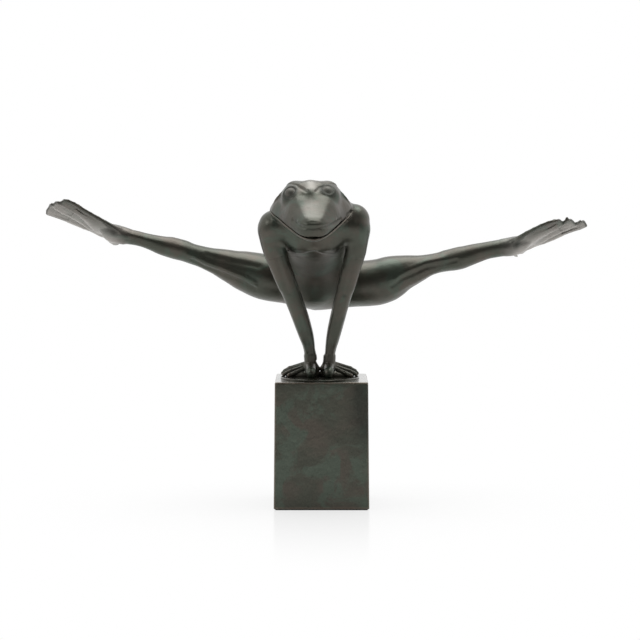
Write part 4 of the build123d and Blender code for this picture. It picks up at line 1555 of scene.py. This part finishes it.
    def parting(self, points: Array) -> Dict[str, Array]:
        """Below zero where the figure is not the trunk's but the head's or one limb's.

        Args:
            points: Places to measure at.

        Returns:
            Field of each cut at each point.
        """
        trunk = self.trunk.distance(points)
        cuts = {"head": np.maximum(
            (self.head.distance(points) - trunk) / 2, self.head.joint_along - self.head.axes.local(points)[2]
        )}
        for side in Side:
            cuts["arm" + side.word] = self.arms[side].beyond(points, trunk, self.arms[side].distance(points))
            cuts["leg" + side.word] = self.legs[side].beyond(points, trunk, self.legs[side].distance(points))
        return cuts

    def body(self, points: Array) -> Array:
        """Near distance to the trunk with everything that grows out of it.

        Args:
            points: Places to measure at.

        Returns:
            Distance at each point, below zero inside.
        """
        form = blended(self.trunk.distance(points), self.head.distance(points), self.neck_fillet)
        for side in Side:
            form = blended(form, self.arms[side].distance(points), self.arm_fillet)
            form = blended(form, self.legs[side].distance(points), self.leg_fillet)
        return form

    def everything(self, points: Array) -> Array:
        """Near distance to the figure with its hands and feet.

        Args:
            points: Places to measure at.

        Returns:
            Distance at each point, below zero inside.
        """
        form = self.body(points)
        for side in Side:
            form = np.minimum(form, np.minimum(self.hands[side].distance(points), self.feet[side].distance(points)))
        return form

    def grown(self, limb: Union[Arm, Leg], fillet: float, tip: Union[Hand, Foot], tip_fillet: float) -> Form:
        """Form of one limb with what it grows out of and into.

        Args:
            limb: The arm or the leg.
            fillet: Width of its fillet with the trunk.
            tip: The hand or the foot.
            tip_fillet: Width of the fillet between limb and tip.

        Returns:
            Distance to the trunk, the limb and the tip, blended.
        """
        def form(points: Array) -> Array:
            """Near distance at each place."""
            root = blended(self.trunk.distance(points), limb.distance(points), fillet)
            return blended(root, tip.distance(points), tip_fillet)
        return form

    def cast(self, name: str, body: Form, outside: Form, box: Sequence[Sequence[float]], cell: float,
             **layers: Form) -> None:
        """Makes and dresses one casting.

        Args:
            name: Name of the node that it stands for.
            body: Form of the figure near the casting.
            outside: Above zero where the casting ends.
            box: Two values of X, of Y and of Z between which it lies.
            cell: Size of its quads.
            layers: Share of painted shade (shade), painted light (pale) or matt wax (dull) at each place.
        """
        ends = np.array(box, float)
        vertices, quads, bulge = NetSkin(body, outside, ends.min(1), ends.max(1), cell).skin()
        piece = make_object(name + "_cast", vertices, quads)
        add_layer(piece, "worn", (bulge - self.worn_from) / self.full_bulge)
        hollow = (-bulge - self.hollow_from) / self.full_bulge
        # The shade layer adds painted shade to the darker hollows.
        if "shade" in layers:
            hollow = np.maximum(hollow, layers.pop("shade")(vertices))
        add_layer(piece, "hollow", hollow)
        for layer, share in layers.items():
            add_layer(piece, layer, share(vertices))
        dress(piece, self.bronze, "bronze", [name])

    def build(self) -> None:
        """Makes all the castings."""
        def trunk_end(points: Array) -> Array:
            """Above zero where the head or a limb takes over."""
            return -np.minimum.reduce(list(self.parting(points).values()))

        def limb_start(points: Array, key: str) -> Array:
            """Below zero where the head or a limb has taken over, with a little overlap."""
            return self.parting(points)[key] - self.overlap

        self.cast(
            "torso", self.body, trunk_end, self.torso_box, self.cells["torso"], dull=self.trunk.dull,
        )
        # Head: painted shade (shade) around the eyes and on the cheeks, painted highlights (pale) on crown, muzzle and
        # eyeballs.
        self.cast(
            "head", self.body, lambda p: limb_start(p, "head"), self.head_box, self.cells["head"],
            shade=self.head.shade, pale=self.head.pale, dull=self.head.dull,
        )
        for side in Side:
            self.build_arm(side, limb_start)
            self.build_leg(side, limb_start)

    def build_arm(self, side: Side, limb_start: Callable[[Array, str], Array]) -> None:
        """Makes one arm and its hand.

        Args:
            side: Side of the frog.
            limb_start: Below zero where a named limb has taken over from the trunk.
        """
        word, way = side.word, side.value
        arm, hand = self.arms[side], self.hands[side]
        middle, wrist_z = arm.wrist_middle[0], arm.wrist_z
        form = self.grown(arm, self.arm_fillet, hand, self.wrist_fillet)
        self.cast(
            word + "_arm", form, lambda p: np.maximum(limb_start(p, "arm" + word), wrist_z - p[:, 2]),
            ((middle + way, self.trunk.origin[0] + way * self.arm_reach), *self.arm_box), self.cells["arm"],
        )
        self.cast(
            word + "_hand", form,
            lambda p: np.maximum(p[:, 2] - wrist_z, np.maximum(hand.plate_z - p[:, 2], way * (middle - p[:, 0]))),
            ((middle, middle + way * self.hand_reach), *self.hand_box), self.cells["hand"],
        )

    def build_leg(self, side: Side, limb_start: Callable[[Array, str], Array]) -> None:
        """Makes one leg and its foot.

        Args:
            side: Side of the frog.
            limb_start: Below zero where a named limb has taken over from the trunk.
        """
        word, way = side.word, side.value
        leg, foot = self.legs[side], self.feet[side]
        form = self.grown(leg, self.leg_fillet, foot, self.ankle_fillet)
        # Leg: the foot's painted light (pale) reaches up past the ankle.
        self.cast(
            word + "_leg", form, lambda p: np.maximum(limb_start(p, "leg" + word), leg.past_ankle(p)),
            ((leg.hip_x, leg.hip_x + way * leg.length), *self.leg_box), self.cells["leg"], pale=foot.pale,
        )
        # Foot: painted shade (shade) and painted light (pale).
        self.cast(
            word + "_foot", form, lambda p: -leg.past_ankle(p),
            ((leg.hip_x + way * self.foot_start, leg.hip_x + way * self.foot_reach), *self.foot_box),
            self.cells["foot"], shade=foot.shade, pale=foot.pale,
        )


def stacked_faces(rings: int, count: int, base: int = 0) -> List[Tuple[int, ...]]:
    """Faces over stacked rings of points, with a lid at both ends.

    Args:
        rings: Number of rings.
        count: Number of points in each ring.
        base: Number of the first point.

    Returns:
        Vertex numbers of each face.
    """
    faces = []
    for start in range(base, base + (rings - 1) * count, count):
        for i in range(count):
            j = (i + 1) % count
            faces.append((start + i, start + j, start + count + j, start + count + i))
    last = base + (rings - 1) * count
    return faces + [tuple(range(last, last + count)), tuple(range(base + count - 1, base - 1, -1))]


@dataclass(frozen=True)
class Pins:
    """Pins of the joints between the castings, filed off a little below the skin."""

    node: str
    radius: float
    axis: Tuple[float, float, float]
    rods: Tuple[Tuple[float, float, float, float], ...]
    inset: float = 0.25
    sides: int = 20

    def build(self, form: Form, bronze: bpy.types.Material) -> None:
        """Makes the rods of one node.

        Args:
            form: Distance to the figure around the pins.
            bronze: Their finish.
        """
        along = unit(vector(*self.axis))
        first = unit(np.cross(along, vector(0.3, 0.5, 0.8)))
        second = np.cross(along, first)
        turns = np.linspace(0, 2 * math.pi, self.sides, endpoint=False)
        circle = np.cos(turns)[:, None] * first + np.sin(turns)[:, None] * second
        vertices, faces = [], []
        for *middle, half in self.rods:
            steps = np.linspace(-half, half, 121)
            rim = vector(*middle) + steps[:, None, None] * along + self.radius * circle
            inside = form(rim.reshape(-1, 3)).reshape(len(steps), -1).max(1) < -self.inset
            low, high = steps[inside].min(), steps[inside].max()
            rings = [(low, 0.8), (low + 0.2, 1), (0.5 * (low + high), 1), (high - 0.2, 1), (high, 0.8)]
            faces += stacked_faces(len(rings), self.sides, len(vertices))
            for reach, share in rings:
                vertices.extend(vector(*middle) + reach * along + share * self.radius * circle)
        piece = make_object(self.node + "_filed", np.array(vertices), faces)
        dress(piece, bronze, "bronze", [self.node])


PINS = (
    Pins("wrist_pins", 0.9, (1, 0, 0), ((7.6, 2.0, 138.3, 5.8), (-11.0, 2.0, 138.3, 5.8))),
    Pins("shoulder_pins", 1.6, (0, 1, -0.012), ((-42.9, -22.7, 244.7, 7.9), (30.9, -22.2, 244.1, 7.9))),
    Pins("nape_pin", 1.6, (0, -0.445, 0.895), ((-9.4, -35.5, 307.0, 6.3),)),
    Pins("hip_pins", 1.55, (0.008, 0, -1), ((21.5, 55.2, 189.6, 4.7), (-35.2, 55.3, 195.1, 5.1))),
    Pins("ankle_pins", 0.95, (0, 1, -0.003), ((-195.0, 29.1, 260.0, 7.5), (183.0, 28.6, 249.0, 7.6))),
)


@dataclass(frozen=True)
class Block:
    """Square cast block with a slightly uneven skin, open below."""

    foot_half: float = 45.5
    top_half: float = 44.35
    low: float = 1.0
    high: float = 122.0
    corner: float = 1.8
    edge: float = 1.4
    foot_edge: float = 0.6
    wall: float = 4.0
    inner_top: float = 116.0
    plate_half: float = 30.0
    wave_depth: float = 0.035
    waves: Tuple[Tuple[float, Tuple[float, ...], Tuple[float, ...]], ...] = (
        (1.0, (0.061, 0, 0.09, 1.3), (0, 0.07, 0.055, 0.4)),
        (0.6, (0.11, 0, 0.17, 0), (0.19, 0.13, 0, 2.0)),
        (0.35, (0, 0.3, 0.41, 1.0), (0.37, -0.33, 0, 0)),
    )

    def ring(self, half: float, z: float, corner: float, per_side: int = 60) -> Array:
        """Points of a rounded square at one height.

        Args:
            half: Half of its width.
            z: Its height.
            corner: Radius of its corners.
            per_side: Number of points on each straight side.

        Returns:
            The points in order.
        """
        side = [(x, -half) for x in np.linspace(-(half - corner), half - corner, per_side)]
        for turn in np.linspace(0, math.pi / 2, 7)[1:-1]:
            side.append((half - corner + corner * math.sin(turn), -half + corner - corner * math.cos(turn)))
        quarters = ((1, 0), (0, 1), (-1, 0), (0, -1))
        return np.array([(x * c - y * s, x * s + y * c, z) for c, s in quarters for x, y in side])

    def rings(self) -> List[Array]:
        """Rings from the inside of the foot over the top to its middle.

        Returns:
            The points of each ring.
        """
        foot, top = self.foot_half - self.foot_edge, self.top_half - self.edge
        low, high = self.low + self.foot_edge, self.high - self.edge
        rings = [self.ring(self.foot_half - self.wall, z, 0.3) for z in (self.inner_top, 60.0, self.low)]
        rings.append(self.ring(foot, self.low, 1.5))
        for turn in np.linspace(0, math.pi / 2, 4)[1:]:
            rise = self.foot_edge * math.cos(turn)
            rings.append(self.ring(foot + self.foot_edge * math.sin(turn), low - rise, self.corner))
        for share in np.linspace(0, 1, 62)[1:]:
            half = self.foot_half + share * (self.top_half - self.foot_half)
            rings.append(self.ring(half, low + share * (high - low), self.corner))
        for turn in np.linspace(0, math.pi / 2, 6)[1:]:
            rings.append(self.ring(top + self.edge * math.cos(turn), high + self.edge * math.sin(turn), self.corner))
        for share in np.linspace(1, 0, 32)[1:]:
            rings.append(self.ring(max(0.02, share * top), self.high, self.corner * share))
        return rings

    def build(self, bronze: bpy.types.Material) -> None:
        """Makes the block and stores where it is worn, dark and polished.

        Args:
            bronze: Its finish.
        """
        rings = self.rings()
        vertices = self.uneven(np.concatenate(rings))
        piece = make_object("plinth_block", vertices, stacked_faces(len(rings), len(rings[0])), 40)
        add_layer(piece, "worn", self.wear(vertices))
        add_layer(piece, "hollow", self.dusk(vertices) * (vertices[:, 2] < self.high - self.edge))
        add_layer(piece, "polish", (vertices[:, 2] - self.high + 0.6) / 0.4)
        dress(piece, bronze, "bronze", ["plinth_shell"])

    def wear(self, vertices: Array) -> Array:
        """How far the block is rubbed along its edges.

        Args:
            vertices: Points of the block.

        Returns:
            Share at each point.
        """
        height = (vertices[:, 2] - self.low) / (self.high - self.low)
        reach = np.abs(vertices[:, :2])
        half = self.foot_half + height * (self.top_half - self.foot_half)
        edge = np.exp(-((half - reach.min(1)) / 1.6) ** 2) * (reach.max(1) > half - 2)
        rim = np.exp(-((self.high - vertices[:, 2]) / 1.6) ** 2) * np.exp(-((half - reach.max(1)) / 1.8) ** 2)
        foot = np.exp(-((vertices[:, 2] - self.low) / 2.2) ** 2)
        return np.maximum(edge, np.maximum(rim, foot))

    def dusk(self, vertices: Array) -> Array:
        """How much darker the block is: streaks on the right, and a band below the top.

        Args:
            vertices: Points of the block.

        Returns:
            Share at each point.
        """
        x, _, z = vertices.T
        streaks = 0.5 + 0.5 * np.sin(0.21 * x + 0.6 * np.sin(0.05 * z)) * np.sin(0.035 * z + 0.09 * x + 0.8)
        right = 0.75 * step_between(x, 8, 40) * step_between(z, 35, 105) + 0.30 * step_between(x, 20, 45)
        return np.maximum(right * (0.6 + 0.4 * streaks), 0.5 * np.exp(-((self.high - z) / 9) ** 2))

    def uneven(self, vertices: Array) -> Array:
        """Slow waves of a few tenths of a millimetre, drawn inward from the true faces.

        Args:
            vertices: Points of the true block.

        Returns:
            The moved points.
        """
        places = np.column_stack([vertices, np.ones(len(vertices))])
        wave = sum(share * np.sin(places @ a) * np.sin(places @ b) for share, a, b in self.waves)
        deepest = sum(share for share, _, _ in self.waves)
        reach = np.maximum(np.abs(vertices[:, :2]).max(1), 1e-6)
        skin = reach > self.top_half - self.wall / 2
        top = (vertices[:, 2] > self.high - self.edge) & (reach > self.plate_half)
        moved = vertices.copy()
        moved[:, :2] *= 1 - (self.wave_depth * (deepest - wave) / reach * skin)[:, None]
        moved[:, 2] -= top * 0.12 * (1 + wave / deepest)
        return moved


@dataclass(frozen=True)
class Studio:
    """Pale floor, soft lamps and the camera of the photograph."""

    camera_mm: Tuple[float, float, float] = (-1.42, -2000.0, 320.0)
    aim_z: float = 178.0
    focal_pixels: float = 2078.0
    picture_pixels: float = 640.0
    sensor_mm: float = 36.0
    floor_metres: float = 9.0
    lamps: Tuple[Tuple, ...] = (
        ("overhead", (0.12, 0.22, 1.9), (1.8, 1.4), 22), ("window", (-1.7, -0.9, 1.2), (0.9, 0.9), 6),
    )

    def floor(self) -> None:
        """Wide pale floor with a trace of gloss, which fades into the white ground away from the block."""
        bpy.ops.mesh.primitive_grid_add(x_subdivisions=8, y_subdivisions=8, size=self.floor_metres)
        floor = bpy.context.object
        floor.name = "floor"
        sheet = new_sheet("pale_floor")
        tone = sheet.mixed(sheet.ramp(sheet.noise(3, 2), 0.3, 0.7), (0.82, 0.82, 0.82), (0.84, 0.84, 0.84))
        material = sheet.shade({"Base Color": tone, "Roughness": 0.16, "Specular IOR Level": 0.5})
        white = sheet.node("Emission", {"Strength": 1.0})
        distance = sheet.node("VectorMath", {0: sheet.coordinates["Object"]}, "Value", operation="LENGTH")
        far = sheet.spread(sheet.ramp(distance, 0.05, 0.36), 0.72, 1.0)
        share = sheet.product(sheet.node("LightPath", {}, "Is Camera Ray"), far)
        lit = sheet.nodes["Principled BSDF"].outputs[0]
        sheet.fill(sheet.nodes["Material Output"], {"Surface": sheet.node("MixShader", {0: share, 1: lit, 2: white})})
        floor.data.materials.append(material)

    def lamp(self, name: str, place: Tuple[float, float, float], size: Tuple[float, float], power: float) -> None:
        """Soft area lamp in metres that looks at the frog.

        Args:
            name: Name of the lamp.
            place: Its place in metres.
            size: Its width and height in metres.
            power: Its power in watts.
        """
        light = bpy.data.lights.new(name, "AREA")
        light.shape = "RECTANGLE"
        light.size, light.size_y = size
        light.energy = power
        lamp = bpy.data.objects.new(name, light)
        lamp.location = place
        aim = np.array((0, 0, 0.2)) - np.array(place)
        lamp.rotation_euler = Vector(aim).to_track_quat("-Z", "Y").to_euler()
        bpy.context.scene.collection.objects.link(lamp)

    def world(self) -> None:
        """Bright behind, above and at the sides, dim in front, and white to the camera."""
        world = bpy.data.worlds.new("studio")
        bpy.context.scene.world = world
        sheet = NodeSheet(world)
        depth = sheet.node("SeparateXYZ", {0: sheet.coordinates["Generated"]}, "Y")
        light = {"Factor": sheet.node("LightPath", {}, "Is Camera Ray"), "B": 1.0}
        light["A"] = sheet.ramp(depth, -0.75, 0.25, 0.10, 1.0)
        seen = sheet.node("Mix", light, data_type="FLOAT")
        sheet.fill(sheet.nodes["Background"], {"Color": (1, 1, 1), "Strength": seen})

    def camera(self) -> None:
        """Camera at the photograph's angle."""
        data = bpy.data.cameras.new("camera")
        data.sensor_width = self.sensor_mm
        data.lens = self.sensor_mm * self.focal_pixels / self.picture_pixels
        data.clip_end = 50
        camera = bpy.data.objects.new("camera", data)
        camera.location = [c * MM for c in self.camera_mm]
        drop = math.atan((self.camera_mm[2] - self.aim_z) / -self.camera_mm[1])
        camera.rotation_euler = (math.pi / 2 - drop, 0, 0)
        bpy.context.scene.collection.objects.link(camera)
        bpy.context.scene.camera = camera

    def build(self) -> None:
        """Sets up everything around the figure."""
        self.camera()
        self.world()
        self.floor()
        for lamp in self.lamps:
            self.lamp(*lamp)
        bpy.context.scene.view_settings.view_transform = "Standard"


def dress_nodes() -> None:
    """Gives the kept nodes their finishes."""
    steel = BareMetal("dull_steel", (0.42, 0.42, 0.41), (0.24, 0.23, 0.21), 0.35).material()
    plate = BareMetal("bare_bronze", (0.36, 0.27, 0.15), (0.20, 0.15, 0.09), 0.40).material()
    felt = Felt().material()
    disc = Bronze("disc_bronze", gloss=0.14, wax_roughness=0.08).material()
    finishes = {
        "hand_disc": (disc, "bronze"), "base_plate": (plate, "plate"), "felt_base": (felt, "felt"),
        "base_screws": (steel, "fixings"), "hand_studs": (steel, "fixings"),
        "stud_washers": (steel, "fixings"), "stud_nuts": (steel, "fixings"),
    }
    for node, (material, slot) in finishes.items():
        dress(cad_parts[node], material, slot)


def main() -> None:
    """Builds the studio, the block and the frog."""
    logging.basicConfig(level=logging.INFO, format="%(message)s")
    Studio().build()
    bronze = Bronze("waxed_bronze").material()
    block_bronze = Bronze(
        "block_bronze", deep=(0.096, 0.100, 0.076), brown=(0.126, 0.110, 0.087), green=(0.114, 0.140, 0.107),
        green_from=0.44, gloss=0.30, wax_roughness=0.22,
    ).material()
    Block().build(block_bronze)
    dress_nodes()
    figure = Figure(bronze)
    figure.build()
    for pins in PINS:
        pins.build(figure.everything, bronze)


if __name__ == "__main__":
    main()
